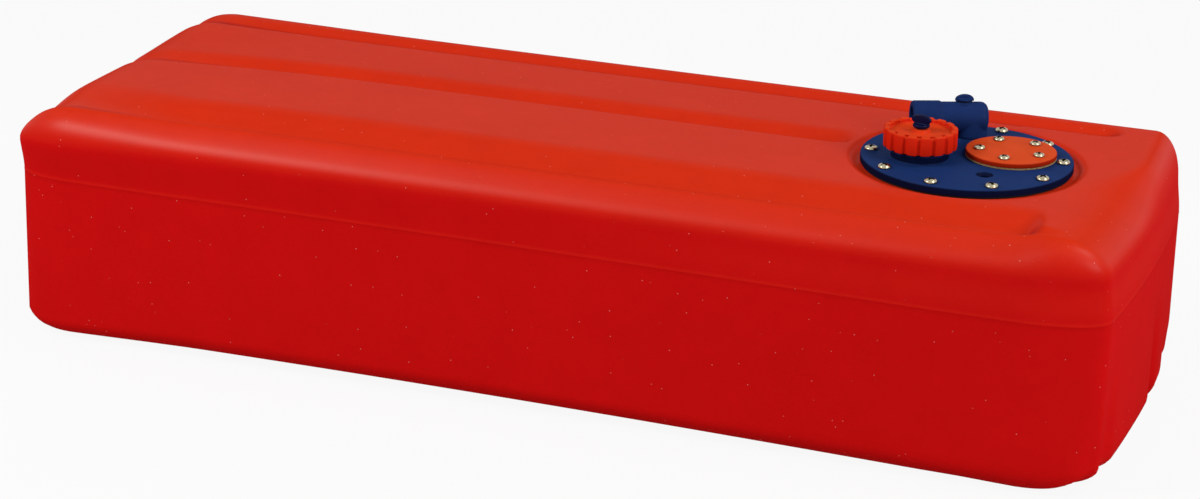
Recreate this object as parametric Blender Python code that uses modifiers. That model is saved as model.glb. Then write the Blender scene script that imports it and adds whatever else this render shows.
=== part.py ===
"""A fixed plastic fuel tank with its deck flange, filler, outlet elbow and blanked sender station.

Lengths are in metres, +Z is up, and +X runs along the tank towards the flange. The origin is
the middle of the tank's footprint, at the height that it stands on.
"""

import math

import bmesh
import bpy
from mathutils import Matrix, Vector

# Tank body
tank_length = 0.995
tank_width = 0.350
tank_height = 0.225
tank_wall = 0.005
left_round = 0.058
right_front_round = 0.070
right_back_round = 0.024
front_side_round = 0.038
left_side_round = 0.029
right_side_round = 0.027
back_side_round = 0.026
deck_round = 0.036
left_deck_round = 0.044
back_deck_round = 0.041
floor_round = 0.024
left_floor_round = 0.018
left_change_run = 0.180
right_change_run = 0.150
side_change_half_run = 0.060
parting_height = 0.153
left_flare = 0.0036
right_bulge = 0.0036
wall_bow = 0.003
floor_arch = 0.0006
arch_inset = 0.150
right_crown = 0.0085
right_crown_run = 0.150
left_taper_run = 0.224
left_taper_start = 0.060
left_taper_share = 0.033
left_taper_growth_share = 0.10

# Flutes pressed into the deck, each with a bed line and a bank on either side of it
front_flute_inset = 0.031
front_flute_near = 0.010
front_flute_far = 0.045
front_flute_depth = 0.014
front_flute_end_inset = 0.082
middle_flute_offset = 0.014
middle_flute_near = 0.011
middle_flute_far = 0.028
middle_flute_depth = 0.008
middle_flute_end_inset = 0.288
back_flute_inset = 0.047
back_flute_near = 0.012
back_flute_far = 0.020
back_flute_depth = 0.007
back_flute_end_inset = 0.070
flute_end_run = 0.020
front_rail_drop = 0.005
left_widening_run = 0.170
front_widening_share = 0.73
back_widening_share = 0.12
left_shallowing_share = 0.55

# Fall of the deck towards the left end
deck_fall = 0.0112
deck_fall_start = 0.190
deck_fall_front = 0.117
deck_fall_front_run = 0.065
deck_fall_back = 0.020
deck_fall_back_run = 0.118
left_deck_lift = 0.0020

# Creases in the floor, which run on up the right end and notch its lower edge
front_crease_inset = 0.019
front_crease_depth = 0.0055
front_crease_half_width = 0.010
front_crease_rise = 0.104
second_crease_inset = 0.042
second_crease_depth = 0.005
second_crease_half_width = 0.024
second_crease_rise = 0.150
third_crease_offset = 0.050
third_crease_depth = 0.012
third_crease_half_width = 0.023
third_crease_rise = 0.130
back_crease_inset = 0.043
back_crease_depth = 0.014
back_crease_half_width = 0.032
back_crease_rise = 0.054

# Hand hole, its sunk seat and the thick ring under it
flange_end_inset = 0.164
hand_hole_radius = 0.0745
seat_radius = 0.0940
seat_slope_run = 0.0095
seat_depth = 0.0045
ring_radius = 0.108
ring_depth = 0.018

# Gaps and overruns
seat_gap = 0.0003
bore_clearance = 0.0004
overrun = 0.010
merge_limit = 0.00001

# Flange and its gasket
flange_radius = 0.091
flange_thickness = 0.006
flange_edge_round = 0.0015
gasket_thickness = 0.0015
gasket_edge_margin = 0.001
flange_screw_count = 10
flange_screw_circle = 0.082
flange_screw_angle = 10.0
deck_set_angle = 24.0

# Machine screws, and the threaded inserts that take the flange's
screw_shank_radius = 0.0025
screw_length = 0.0150
flange_head_radius = 0.0056
flange_head_height = 0.0034
insert_wall = 0.0016
insert_length = 0.0110

# Blanked sender station
sender_offset = 0.038
sender_hole_radius = 0.0205
blank_radius = 0.039
blank_thickness = 0.0042
blank_edge_round = 0.0012
cork_thickness = 0.0012
sender_screw_count = 5
sender_screw_circle = 0.0272
sender_screw_angle = -42.0
sender_head_radius = 0.0049
sender_head_height = 0.0030
sender_ring_width = 0.0130
sender_ring_thickness = 0.0040

# Filler neck and cap
neck_offset = 0.041
neck_bore_radius = 0.0205
neck_wall = 0.0042
neck_height = 0.0152
neck_foot_round = 0.0010
cap_radius = 0.0316
cap_foot_height = 0.0096
cap_disc_thickness = 0.0027
cap_rim_height = 0.0042
cap_rim_width = 0.0052
cap_lobe_count = 16
cap_lobe_depth = 0.0018
cap_notch_depth = 0.0012
cap_thread_clearance = 0.0008
vent_boss_height = 0.0032
vent_boss_foot_radius = 0.0086
vent_boss_top_radius = 0.0074
seal_thickness = 0.0020
liner_thickness = 0.0012

# Thumb screws of the cap's vent and of the elbow's bleed
vent_shank_radius = 0.0030
vent_collar_radius = 0.0070
vent_collar_height = 0.0024
vent_tab_width = 0.0180
vent_tab_height = 0.0088
tab_thickness = 0.0030
vent_turn_angle = -8.0
thumb_seal_height = 0.0009
thumb_seal_width = 0.0016
bleed_shank_radius = 0.0026
bleed_collar_radius = 0.0062
bleed_collar_height = 0.0016
bleed_tab_width = 0.0160
bleed_tab_height = 0.0088
bleed_offset = 0.0078

# Outlet elbow with its nut, seal, suction tube and strainer
outlet_along = 0.0143
outlet_across = 0.0586
stem_radius = 0.0132
barrel_radius = 0.0136
barrel_axis_height = 0.0166
barrel_length = 0.0535
barrel_end_round = 0.0062
collar_radius = 0.0146
collar_length = 0.0245
collar_mouth_round = 0.0018
socket_radius = 0.0092
socket_depth = 0.0240
barrel_bore_radius = 0.0066
spigot_radius = 0.0090
spigot_length = 0.0200
bleed_boss_radius = 0.0072
bleed_boss_height = 0.0006
nut_across_flats = 0.0220
nut_thickness = 0.0060
outlet_seal_width = 0.0026
outlet_seal_thickness = 0.0015
suction_radius = 0.0052
suction_bore_radius = 0.0038
suction_engagement = 0.0160
suction_foot_height = 0.0380
strainer_radius = 0.0090
strainer_height = 0.0260
strainer_floor = 0.0020
strainer_slot_count = 8
strainer_slot_width = 0.0022
strainer_slot_height = 0.0130
strainer_grip = 0.0080

# Blind port pad in the flange
port_along = 0.0059
port_across = -0.0499
port_radius = 0.0070
port_depth = 0.0014
port_hole_radius = 0.0026
port_hole_depth = 0.0040

# Facets round a full turn
large_steps = 48
medium_steps = 24
small_steps = 10
fillet_steps = 3

# Heights worked out from the sizes above
flange_x = tank_length / 2 - flange_end_inset
seat_level = tank_height - seat_depth
gasket_bottom = seat_level + seat_gap
flange_bottom = gasket_bottom + gasket_thickness + seat_gap
flange_top = flange_bottom + flange_thickness
shank_hole_radius = screw_shank_radius + bore_clearance
insert_radius = shank_hole_radius + insert_wall
cork_bottom = flange_top + seat_gap
blank_bottom = cork_bottom + cork_thickness + seat_gap
blank_top = blank_bottom + blank_thickness
neck_radius = neck_bore_radius + neck_wall
neck_top = flange_top + neck_height
seal_bottom = neck_top + seat_gap
liner_bottom = seal_bottom + seal_thickness + seat_gap
cap_ceiling = liner_bottom + liner_thickness + seat_gap
cap_disc_top = cap_ceiling + cap_disc_thickness
cap_foot = flange_top + cap_foot_height
cap_top = cap_disc_top + cap_rim_height
vent_boss_top = cap_disc_top + vent_boss_height
barrel_axis = flange_top + barrel_axis_height
bleed_seat = barrel_axis + barrel_radius + bleed_boss_height


def empty_scene():
    for thing in list(bpy.data.objects):
        bpy.data.objects.remove(thing, do_unlink=True)


def collection(name, shown):
    made = bpy.data.collections.new(name)
    bpy.context.scene.collection.children.link(made)
    made.hide_render = not shown
    return made


def material(name, colour, roughness, metallic=0.0):
    made = bpy.data.materials.new(name)
    made.use_nodes = True
    shader = made.node_tree.nodes["Principled BSDF"]
    shader.inputs["Base Color"].default_value = (*colour, 1.0)
    shader.inputs["Roughness"].default_value = roughness
    shader.inputs["Metallic"].default_value = metallic
    made.diffuse_color = (*colour, 1.0)
    return made


def place(thing, at=(0, 0, 0), turn=0.0, parent=None):
    thing.location = at
    thing.rotation_euler = (0, 0, math.radians(turn))
    thing.parent = parent


def solid(name, mesh, finish):
    """A visible piece, which becomes a node of its own."""
    made = bpy.data.objects.new(name, mesh)
    if not mesh.materials:
        mesh.materials.append(finish)
    parts.objects.link(made)
    return made


def helper(name, mesh):
    """A shape that only cuts or joins another one."""
    made = bpy.data.objects.new(name, mesh)
    made.hide_render = True
    made.display_type = "WIRE"
    cutters.objects.link(made)
    return made


def mesh_from(bm, name, smooth_angle=math.radians(40)):
    bmesh.ops.recalc_face_normals(bm, faces=bm.faces)
    mesh = bpy.data.meshes.new(name)
    bm.to_mesh(mesh)
    bm.free()
    mesh.shade_smooth()
    mesh.set_sharp_from_angle(angle=smooth_angle)
    return mesh


def profile_mesh(name, profile, closed):
    """The half section of a turned shape, from (radius, height) pairs."""
    mesh = bpy.data.meshes.new(name)
    points = [(radius, 0, height) for radius, height in profile]
    edges = [(i, i + 1) for i in range(len(points) - 1)]
    if closed:
        edges.append((len(points) - 1, 0))
    mesh.from_pydata(points, edges, [])
    return mesh


def turn_modifier(thing, steps):
    screw = thing.modifiers.new("Turned", "SCREW")
    screw.steps = steps
    screw.render_steps = steps
    screw.use_merge_vertices = True
    screw.merge_threshold = merge_limit
    screw.use_smooth_shade = True
    screw.use_normal_calculate = False


def turned(name, profile, finish, steps, closed=False):
    made = solid(name, profile_mesh(name, profile, closed), finish)
    turn_modifier(made, steps)
    return made


def turned_helper(name, profile, steps, closed=False):
    made = helper(name, profile_mesh(name, profile, closed))
    turn_modifier(made, steps)
    return made


def rod_mesh(name, radius, low, high, steps):
    bm = bmesh.new()
    add_rod(bm, (0, 0), radius, low, high, steps)
    return mesh_from(bm, name)


def add_rod(bm, centre, radius, low, high, steps):
    middle = Matrix.Translation((centre[0], centre[1], (low + high) / 2))
    bmesh.ops.create_cone(bm, cap_ends=True, segments=steps, radius1=radius,
                          radius2=radius, depth=high - low, matrix=middle)


def drill_set(name, centres, radius, low, high, steps):
    """A row of separate straight drills as one helper."""
    bm = bmesh.new()
    for centre in centres:
        add_rod(bm, centre, radius, low, high, steps)
    return helper(name, mesh_from(bm, name))


def combine(thing, other, operation, solver="EXACT"):
    step = thing.modifiers.new(other.name, "BOOLEAN")
    step.object = other
    step.operation = operation
    step.solver = solver


def weld(thing):
    step = thing.modifiers.new("Weld", "WELD")
    step.merge_threshold = merge_limit


def circle_points(count, radius, first_angle):
    step = math.tau / count
    start = math.radians(first_angle)
    return [(radius * math.cos(start + i * step), radius * math.sin(start + i * step))
            for i in range(count)]


def quarter_round(centre, radius, first, last, steps):
    """Points of an arc in a half section; the angles are in degrees from outward."""
    arc = []
    for i in range(steps + 1):
        angle = math.radians(first + (last - first) * i / steps)
        arc.append((centre[0] + radius * math.cos(angle), centre[1] + radius * math.sin(angle)))
    return arc


def soft_step(share):
    share = min(max(share, 0.0), 1.0)
    return share * share * (3.0 - 2.0 * share)


def clamp(value, low, high):
    return min(max(value, low), high)


# The three deck flutes: bed line, near bank, far bank, depth, right end, widening to the left
flutes = (
    (-tank_width / 2 + front_flute_inset, front_flute_near, front_flute_far,
     front_flute_depth, tank_length / 2 - front_flute_end_inset, front_widening_share),
    (middle_flute_offset, middle_flute_near, middle_flute_far,
     middle_flute_depth, tank_length / 2 - middle_flute_end_inset, 0.0),
    (tank_width / 2 - back_flute_inset, back_flute_near, back_flute_far,
     back_flute_depth, tank_length / 2 - back_flute_end_inset, back_widening_share),
)
# The floor's creases: line, depth, half width, height to which they run up the right end
creases = (
    (-tank_width / 2 + front_crease_inset, front_crease_depth,
     front_crease_half_width, front_crease_rise),
    (-tank_width / 2 + second_crease_inset, second_crease_depth,
     second_crease_half_width, second_crease_rise),
    (third_crease_offset, third_crease_depth, third_crease_half_width, third_crease_rise),
    (tank_width / 2 - back_crease_inset, back_crease_depth,
     back_crease_half_width, back_crease_rise),
)


def left_share(x, run):
    """Zero a run's length short of the left end, and one at the end."""
    return clamp((run - x - tank_length / 2) / run, 0.0, 1.0)


def right_share(x, run):
    """Zero a run's length short of the right end, and one at the end."""
    return clamp((run + x - tank_length / 2) / run, 0.0, 1.0)


def blend(first, last, share):
    return first + (last - first) * share


def deck_press(point, normal):
    """How far the deck is pressed in at a place on it."""
    pressed = 0.0
    share = soft_step(left_share(point.x, left_widening_run))
    for number, (bed, near, far, depth, end, widening) in enumerate(flutes):
        past = max(0.0, point.x - end) / flute_end_run
        reach = near if point.y < bed else blend(far, far + far * widening, share)
        bank = soft_step(math.hypot(past, (point.y - bed) / reach))
        rail = 0.0
        if number == 0 and point.y < bed:
            rail = front_rail_drop * (1.0 - soft_step(past))
        bed_depth = blend(depth, depth - depth * left_shallowing_share, share)
        pressed += rail * soft_step(normal.z * 1.3)
        pressed += (bed_depth - rail) * (1.0 - bank) * soft_step(normal.z * 4)
    return pressed


def deck_drop(x, y):
    """How far the deck lies below its level towards the left end."""
    along = max(0.0, -x - deck_fall_start) / (tank_length / 2 - deck_fall_start)
    front = soft_step((y + deck_fall_front + deck_fall_front_run) / deck_fall_front_run)
    back = soft_step((deck_fall_back + deck_fall_back_run - y) / deck_fall_back_run)
    return along ** 2 * (deck_fall * front * back - left_deck_lift)


def middle_share(x):
    """One at the middle of the tank's length, and zero from each end's arch inset outward."""
    return max(0.0, 1.0 - (x / (tank_length / 2 - arch_inset)) ** 2)


def crease_press(point, normal):
    """How far the creases press in the floor and the foot of the right end at a place."""
    pressed = 0.0
    low_share = soft_step(-normal.z * 1.5)
    for line, depth, reach, rise in creases:
        share = max(low_share, soft_step(normal.x * 1.5) * soft_step(1.0 - point.z / rise))
        pressed += depth * share * (1.0 - soft_step(abs(point.y - line) / reach))
    return pressed


def end_bend(x, y):
    """How far a place is moved along by the left end's taper and the right end's crown."""
    away = max(0.0, y + left_taper_start)
    taper = left_taper_share * away + left_taper_growth_share * away ** 2 / tank_width
    crown = right_crown * (2 * y / tank_width) ** 2
    return taper * left_share(x, left_taper_run) - crown * right_share(x, right_crown_run)


def moulded(spot, inset):
    """Takes a point of the sharp box to the moulded body, a wall's thickness further in."""
    half_length, half_width = tank_length / 2, tank_width / 2
    left = soft_step(left_share(spot.x, left_change_run))
    right = soft_step(right_share(spot.x, right_change_run))
    back = soft_step((spot.y / side_change_half_run + 1.0) / 2)
    end_round = left_round
    if spot.x > 0:
        end_round = blend(right_front_round, right_back_round, back)
    edge_round = back_side_round
    if spot.y < 0:
        edge_round = blend(blend(front_side_round, left_side_round, left),
                           right_side_round, right)
    top_round = blend(blend(deck_round, left_deck_round, left), back_deck_round, back)
    low_round = blend(floor_round, left_floor_round, left)
    radii = Vector((end_round, edge_round,
                    low_round if spot.z < tank_height / 2 else top_round))
    core = Vector((
        clamp(spot.x, -half_length + left_round, half_length - end_round),
        clamp(spot.y, -half_width + edge_round, half_width - edge_round),
        clamp(spot.z, low_round, tank_height - top_round),
    ))
    away = spot - core
    lean = Vector((away.x / radii.x, away.y / radii.y, away.z / radii.z)).normalized()
    point = core + Vector((lean.x * radii.x, lean.y * radii.y, lean.z * radii.z))
    normal = Vector((lean.x / radii.x, lean.y / radii.y, lean.z / radii.z)).normalized()
    upright = clamp(math.hypot(normal.x, normal.y), 0.0, 1.0)
    inward = inset
    inward += deck_press(point, normal)
    inward += floor_arch * middle_share(point.x) * soft_step(-normal.z * 1.5)
    inward += crease_press(point, normal)
    rise = (point.z - parting_height) / (tank_height - deck_round - parting_height)
    flare = blend(left_flare, -right_bulge, soft_step(point.x / tank_length + 1 / 2))
    inward += flare * (1.0 - soft_step(rise)) * upright
    inward += wall_bow * abs(normal.y) * middle_share(point.x)
    point -= normal * inward
    height_share = clamp((point.z - parting_height) / (tank_height - parting_height), 0.0, 1.0)
    point.z -= deck_drop(point.x, point.y) * height_share
    point.x += end_bend(point.x, point.y)
    return point


def fillet_lines(edge, reach, steps):
    """Grid lines across one rounding, which turn it by even angles."""
    return [edge - reach + reach * math.tan(math.radians(45) * i / steps) for i in range(steps)]


def slice_box(bm, axis, at, chosen):
    """Cuts the chosen faces of the box along one grid line."""
    faces = [face for face in bm.faces if chosen(face)]
    edges = {edge for face in faces for edge in face.edges}
    verts = {vert for face in faces for vert in face.verts}
    normal = Vector((0, 0, 0))
    normal[axis] = 1
    bmesh.ops.bisect_plane(bm, geom=faces + list(edges) + list(verts), dist=merge_limit,
                           plane_co=normal * at, plane_no=normal)


def body_mesh(name, inset, steps, bank_shares, crease_shares):
    """The rounded, fluted body as a closed surface, set in by a wall's thickness."""
    half_length, half_width = tank_length / 2, tank_width / 2
    bm = bmesh.new()
    box = Matrix.Translation((0, 0, tank_height / 2))
    box = box @ Matrix.Diagonal((tank_length, tank_width, tank_height, 1))
    bmesh.ops.create_cube(bm, size=1, matrix=box)
    every = (lambda face: True)
    deck = (lambda face: face.normal.z > 0.5)
    upper = (lambda face: face.normal.z > 0.5 or (
        abs(face.normal.x) > 0.5 and face.calc_center_median().z > parting_height))
    lower = (lambda face: face.normal.z < -0.5 or (
        face.normal.x > 0.5 and face.calc_center_median().z < parting_height))
    left_deck = (lambda face: face.normal.z > 0.5 and face.calc_center_median().x < 0)
    for at in fillet_lines(half_length, right_back_round, steps):
        slice_box(bm, 0, at, every)
    for at in fillet_lines(half_length, right_front_round, steps - 1):
        slice_box(bm, 0, at, every)
    for at in fillet_lines(half_length, left_round, steps):
        slice_box(bm, 0, -at, every)
    for at in fillet_lines(half_width, back_side_round, steps):
        slice_box(bm, 1, at, every)
    for at in fillet_lines(half_width, left_side_round, steps):
        slice_box(bm, 1, -at, every)
    slice_box(bm, 1, front_side_round - half_width, every)
    for at in fillet_lines(tank_height, back_deck_round, steps):
        slice_box(bm, 2, at, every)
    for at in fillet_lines(0, -floor_round, steps):
        slice_box(bm, 2, at, every)
    slice_box(bm, 2, parting_height, every)
    span = half_length - arch_inset
    for share in (-1.0, -0.67, -0.33, 0.0, 0.33, 0.67, 1.0):
        slice_box(bm, 0, share * span, every)
    slice_box(bm, 1, middle_flute_offset, every)
    for line, depth, reach, rise in creases:
        for share in crease_shares:
            slice_box(bm, 1, line + share * reach, lower)
    for bed, near, far, depth, end, widening in flutes:
        in_flute = (lambda face: deck(face)
                    and bed - near < face.calc_center_median().y < bed + far)
        for share in bank_shares:
            slice_box(bm, 1, bed - near * share, upper)
            slice_box(bm, 1, bed + far * share, upper)
        slice_box(bm, 1, bed + far + far * widening, left_deck)
        for share in bank_shares:
            slice_box(bm, 0, end + flute_end_run * share, in_flute)
    bmesh.ops.triangulate(bm, faces=bm.faces, quad_method="BEAUTY", ngon_method="BEAUTY")
    for vert in bm.verts:
        vert.co = moulded(vert.co, inset)
    return mesh_from(bm, name)


def make_tank():
    tank = solid("tank_shell", body_mesh("tank_shell", 0.0, fillet_steps,
                                         (0.0, 0.35, 0.65, 1.0),
                                         (-1.0, -0.5, 0.0, 0.5, 1.0)), red)
    hollow = helper("tank_hollow", body_mesh("tank_hollow", tank_wall, fillet_steps - 1,
                                             (0.0, 1.0), (-1.0, 0.0, 1.0)))
    combine(tank, hollow, "DIFFERENCE", "MANIFOLD")
    flange_spot = (flange_x, 0, 0)
    ring_top = seat_level
    ring = turned_helper("hand_hole_ring", [
        (0.0, ring_top),
        (ring_radius, ring_top),
        (ring_radius - ring_depth / 3, ring_top - ring_depth),
        (0.0, ring_top - ring_depth),
    ], large_steps)
    place(ring, flange_spot)
    combine(tank, ring, "UNION", "MANIFOLD")
    sunk = turned_helper("sunk_seat", [
        (0.0, tank_height + overrun),
        (seat_radius + seat_slope_run, tank_height + overrun),
        (seat_radius + seat_slope_run, tank_height),
        (seat_radius + seat_slope_run / 2, tank_height - seat_depth / 2),
        (seat_radius, seat_level),
        (hand_hole_radius, seat_level),
        (hand_hole_radius, seat_level - ring_depth - overrun),
        (0.0, seat_level - ring_depth - overrun),
    ], large_steps)
    place(sunk, flange_spot)
    combine(tank, sunk, "DIFFERENCE", "MANIFOLD")
    pockets = drill_set("insert_pockets", flange_screw_places,
                        insert_radius + seat_gap,
                        seat_level - insert_length - seat_gap,
                        tank_height, small_steps)
    place(pockets, flange_spot)
    combine(tank, pockets, "DIFFERENCE", "MANIFOLD")
    weld(tank)


def make_flange(deck_set, flange_frame):
    rim = flange_edge_round
    section = [(0.0, flange_top)]
    section += quarter_round((flange_radius - rim, flange_top - rim), rim, 90, 0, 2)
    section += [(flange_radius, flange_bottom), (0.0, flange_bottom)]
    flange = turned("flange_plate", section, navy, large_steps)
    place(flange, (0, 0, 0), 0, flange_frame)
    foot = neck_foot_round
    neck = turned_helper("filler_neck", [
        (0.0, neck_top),
        (neck_radius - foot / 2, neck_top),
        (neck_radius, neck_top - foot / 2),
        (neck_radius, flange_top + foot),
        (neck_radius + foot, flange_top),
        (neck_radius, flange_top - flange_thickness / 2),
        (0.0, flange_top - flange_thickness / 2),
    ], medium_steps)
    place(neck, (-neck_offset, 0, 0), 0, deck_set)
    combine(flange, neck, "UNION")
    below, above = flange_bottom - overrun, neck_top + overrun
    bores = (
        ("neck_bore", (-neck_offset, 0), neck_bore_radius),
        ("sender_hole", (sender_offset, 0), sender_hole_radius),
        ("spigot_hole", (outlet_along, outlet_across), spigot_radius + bore_clearance),
    )
    for name, centre, radius in bores:
        bore = drill_set(name, [centre], radius, below, above, medium_steps)
        place(bore, (0, 0, 0), 0, deck_set)
        combine(flange, bore, "DIFFERENCE")
    screw_holes = drill_set("flange_screw_holes", flange_screw_places,
                            shank_hole_radius, below, above, small_steps)
    place(screw_holes, (0, 0, 0), 0, flange_frame)
    combine(flange, screw_holes, "DIFFERENCE")
    centres = [(sender_offset + x, y) for x, y in sender_screw_places]
    sender_holes = drill_set("flange_sender_holes", centres, shank_hole_radius,
                             below, above, small_steps)
    place(sender_holes, (0, 0, 0), 0, deck_set)
    combine(flange, sender_holes, "DIFFERENCE")
    port = turned_helper("port_pad", [
        (0.0, flange_top + overrun),
        (port_radius, flange_top + overrun),
        (port_radius, flange_top - port_depth),
        (port_hole_radius, flange_top - port_depth),
        (port_hole_radius, flange_top - port_hole_depth),
        (0.0, flange_top - port_hole_depth),
    ], 2 * small_steps)
    place(port, (port_along, port_across, 0), 0, deck_set)
    combine(flange, port, "DIFFERENCE")
    weld(flange)


def make_gasket(flange_frame):
    inner, outer = hand_hole_radius + gasket_edge_margin, flange_radius - gasket_edge_margin
    top = gasket_bottom + gasket_thickness
    gasket = turned("flange_gasket", [
        (outer, top), (outer, gasket_bottom), (inner, gasket_bottom), (inner, top),
    ], dark_rubber, large_steps, closed=True)
    place(gasket, (0, 0, 0), 0, flange_frame)
    holes = drill_set("gasket_screw_holes", flange_screw_places, shank_hole_radius,
                      gasket_bottom - overrun, top + overrun, small_steps)
    place(holes, (0, 0, 0), 0, flange_frame)
    combine(gasket, holes, "DIFFERENCE")


def screw_section(head_radius, head_height, length):
    return [
        (0.0, head_height),
        (head_radius * 0.50, head_height * 0.93),
        (head_radius * 0.86, head_height * 0.62),
        (head_radius, head_height * 0.20),
        (head_radius, 0.0),
        (screw_shank_radius, 0.0),
        (screw_shank_radius, -length),
        (0.0, -length),
    ]


def make_flange_screws(flange_frame):
    screw = profile_mesh("flange_screw", screw_section(
        flange_head_radius, flange_head_height, screw_length), False)
    insert = profile_mesh("thread_insert", [
        (insert_radius, 0.0),
        (insert_radius, -insert_length),
        (shank_hole_radius, -insert_length),
        (shank_hole_radius, 0.0),
    ], True)
    for number, (x, y) in enumerate(flange_screw_places, start=1):
        made = solid(f"flange_screw_{number:02d}", screw, steel)
        turn_modifier(made, small_steps)
        place(made, (x, y, flange_top + seat_gap), 0, flange_frame)
        made = solid(f"thread_insert_{number:02d}", insert, brass)
        turn_modifier(made, small_steps)
        place(made, (x, y, seat_level - seat_gap), 0, flange_frame)


def make_sender_station(deck_set):
    centre = (sender_offset, 0, 0)
    holes = drill_set("sender_screw_holes", sender_screw_places, shank_hole_radius,
                      flange_bottom - overrun, blank_top + overrun, small_steps)
    place(holes, centre, 0, deck_set)
    rim = blank_edge_round
    section = [(0.0, blank_top)]
    section += quarter_round((blank_radius - rim, blank_top - rim), rim, 90, 0, 2)
    section += [(blank_radius, blank_bottom), (0.0, blank_bottom)]
    blank = turned("sender_blank_plate", section, orange, large_steps)
    cork = turned("sender_gasket", [
        (blank_radius, cork_bottom + cork_thickness),
        (blank_radius, cork_bottom),
        (sender_hole_radius, cork_bottom),
        (sender_hole_radius, cork_bottom + cork_thickness),
    ], cork_sheet, large_steps, closed=True)
    ring_top = flange_bottom - seat_gap
    inner = sender_hole_radius
    ring = turned("sender_backing_ring", [
        (inner + sender_ring_width, ring_top),
        (inner + sender_ring_width, ring_top - sender_ring_thickness),
        (inner, ring_top - sender_ring_thickness),
        (inner, ring_top),
    ], aluminium, medium_steps, closed=True)
    for piece in (blank, cork, ring):
        place(piece, centre, 0, deck_set)
        combine(piece, holes, "DIFFERENCE")
    length = blank_top + seat_gap - ring_top + sender_ring_thickness
    screw = profile_mesh("sender_screw", screw_section(
        sender_head_radius, sender_head_height, length), False)
    for number, (x, y) in enumerate(sender_screw_places, start=1):
        made = solid(f"sender_screw_{number}", screw, steel)
        turn_modifier(made, small_steps)
        place(made, (sender_offset + x, y, blank_top + seat_gap), 0, deck_set)


def cap_mesh():
    """A turned cap whose outer wall is then fluted into grip lobes."""
    skirt = neck_radius + cap_thread_clearance
    rim_inner = cap_radius - cap_rim_width
    shoulder = cap_rim_height / 3
    section = [
        (0.0, vent_boss_top),
        (vent_boss_top_radius, vent_boss_top),
        (vent_boss_foot_radius, cap_disc_top),
        (rim_inner - shoulder, cap_disc_top),
        (rim_inner, cap_top - shoulder / 2),
        (rim_inner + shoulder, cap_top),
        (cap_radius - shoulder, cap_top),
        (cap_radius, cap_top - shoulder),
        (cap_radius, cap_foot + shoulder / 2),
        (cap_radius - shoulder / 2, cap_foot),
        (skirt, cap_foot),
        (skirt, cap_ceiling),
        (0.0, cap_ceiling),
    ]
    bm = bmesh.new()
    points = [bm.verts.new((radius, 0, height)) for radius, height in section]
    edges = [bm.edges.new(pair) for pair in zip(points, points[1:])]
    bmesh.ops.spin(bm, geom=points + edges, cent=(0, 0, 0), axis=(0, 0, 1),
                   angle=math.tau, steps=4 * cap_lobe_count, use_merge=True)
    bmesh.ops.remove_doubles(bm, verts=bm.verts, dist=merge_limit)
    for vert in bm.verts:
        flat = Vector((vert.co.x, vert.co.y))
        if flat.length < rim_inner - merge_limit:
            continue
        turn = math.atan2(flat.y, flat.x) * cap_lobe_count
        valley = max(0.0, math.cos(turn))
        if flat.length > rim_inner + shoulder + merge_limit:
            flat *= 1.0 - valley * cap_lobe_depth / cap_radius
            if vert.co.z > cap_disc_top + shoulder:
                vert.co.z -= valley * cap_notch_depth
        vert.co.x, vert.co.y = flat
    return mesh_from(bm, "filler_cap", math.radians(30))


def make_cap(cap_axis):
    cap = solid("filler_cap", cap_mesh(), orange)
    place(cap, (0, 0, 0), 0, cap_axis)
    hole = drill_set("vent_hole", [(0, 0)], vent_shank_radius + bore_clearance,
                     liner_bottom - overrun, cap_top + overrun, small_steps)
    place(hole, (0, 0, 0), 0, cap_axis)
    combine(cap, hole, "DIFFERENCE")
    seal = turned("cap_seal", [
        (neck_radius, seal_bottom + seal_thickness),
        (neck_radius, seal_bottom),
        (neck_bore_radius, seal_bottom),
        (neck_bore_radius, seal_bottom + seal_thickness),
    ], dark_rubber, medium_steps, closed=True)
    place(seal, (0, 0, 0), 0, cap_axis)
    liner = turned("cap_liner", [
        (neck_radius, liner_bottom + liner_thickness),
        (neck_radius, liner_bottom),
        (vent_shank_radius + bore_clearance, liner_bottom),
        (vent_shank_radius + bore_clearance, liner_bottom + liner_thickness),
    ], pale_plastic, medium_steps, closed=True)
    place(liner, (0, 0, 0), 0, cap_axis)


def thumb_screw(name, collar_radius, collar_height, shank_radius, shank_length,
                tab_width, tab_height, tab_drop, finish):
    """A round collar and shank with an upright oval tab to turn it by."""
    screw = turned(name, [
        (0.0, collar_height),
        (collar_radius - collar_height / 4, collar_height),
        (collar_radius, collar_height * 0.75),
        (collar_radius, 0.0),
        (shank_radius, 0.0),
        (shank_radius, -shank_length),
        (0.0, -shank_length),
    ], finish, 2 * small_steps)
    bm = bmesh.new()
    upright = Matrix.Translation((0, 0, collar_height + tab_height / 2 - tab_drop))
    upright = upright @ Matrix.Diagonal((tab_width / tab_height, 1, 1, 1))
    upright = upright @ Matrix.Rotation(math.radians(90), 4, "X")
    bmesh.ops.create_cone(bm, cap_ends=True, segments=2 * small_steps,
                          radius1=tab_height / 2, radius2=tab_height / 2,
                          depth=tab_thickness, matrix=upright)
    rims = [edge for edge in bm.edges if len(edge.link_faces[0].verts) > 4
            or len(edge.link_faces[1].verts) > 4]
    bmesh.ops.bevel(bm, geom=rims, offset=tab_thickness / 4, offset_type="OFFSET",
                    segments=1, profile=0.5, affect="EDGES", material=-1)
    tab = helper(name + "_tab", mesh_from(bm, name + "_tab"))
    tab.parent = screw
    combine(screw, tab, "UNION")
    return screw


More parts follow.
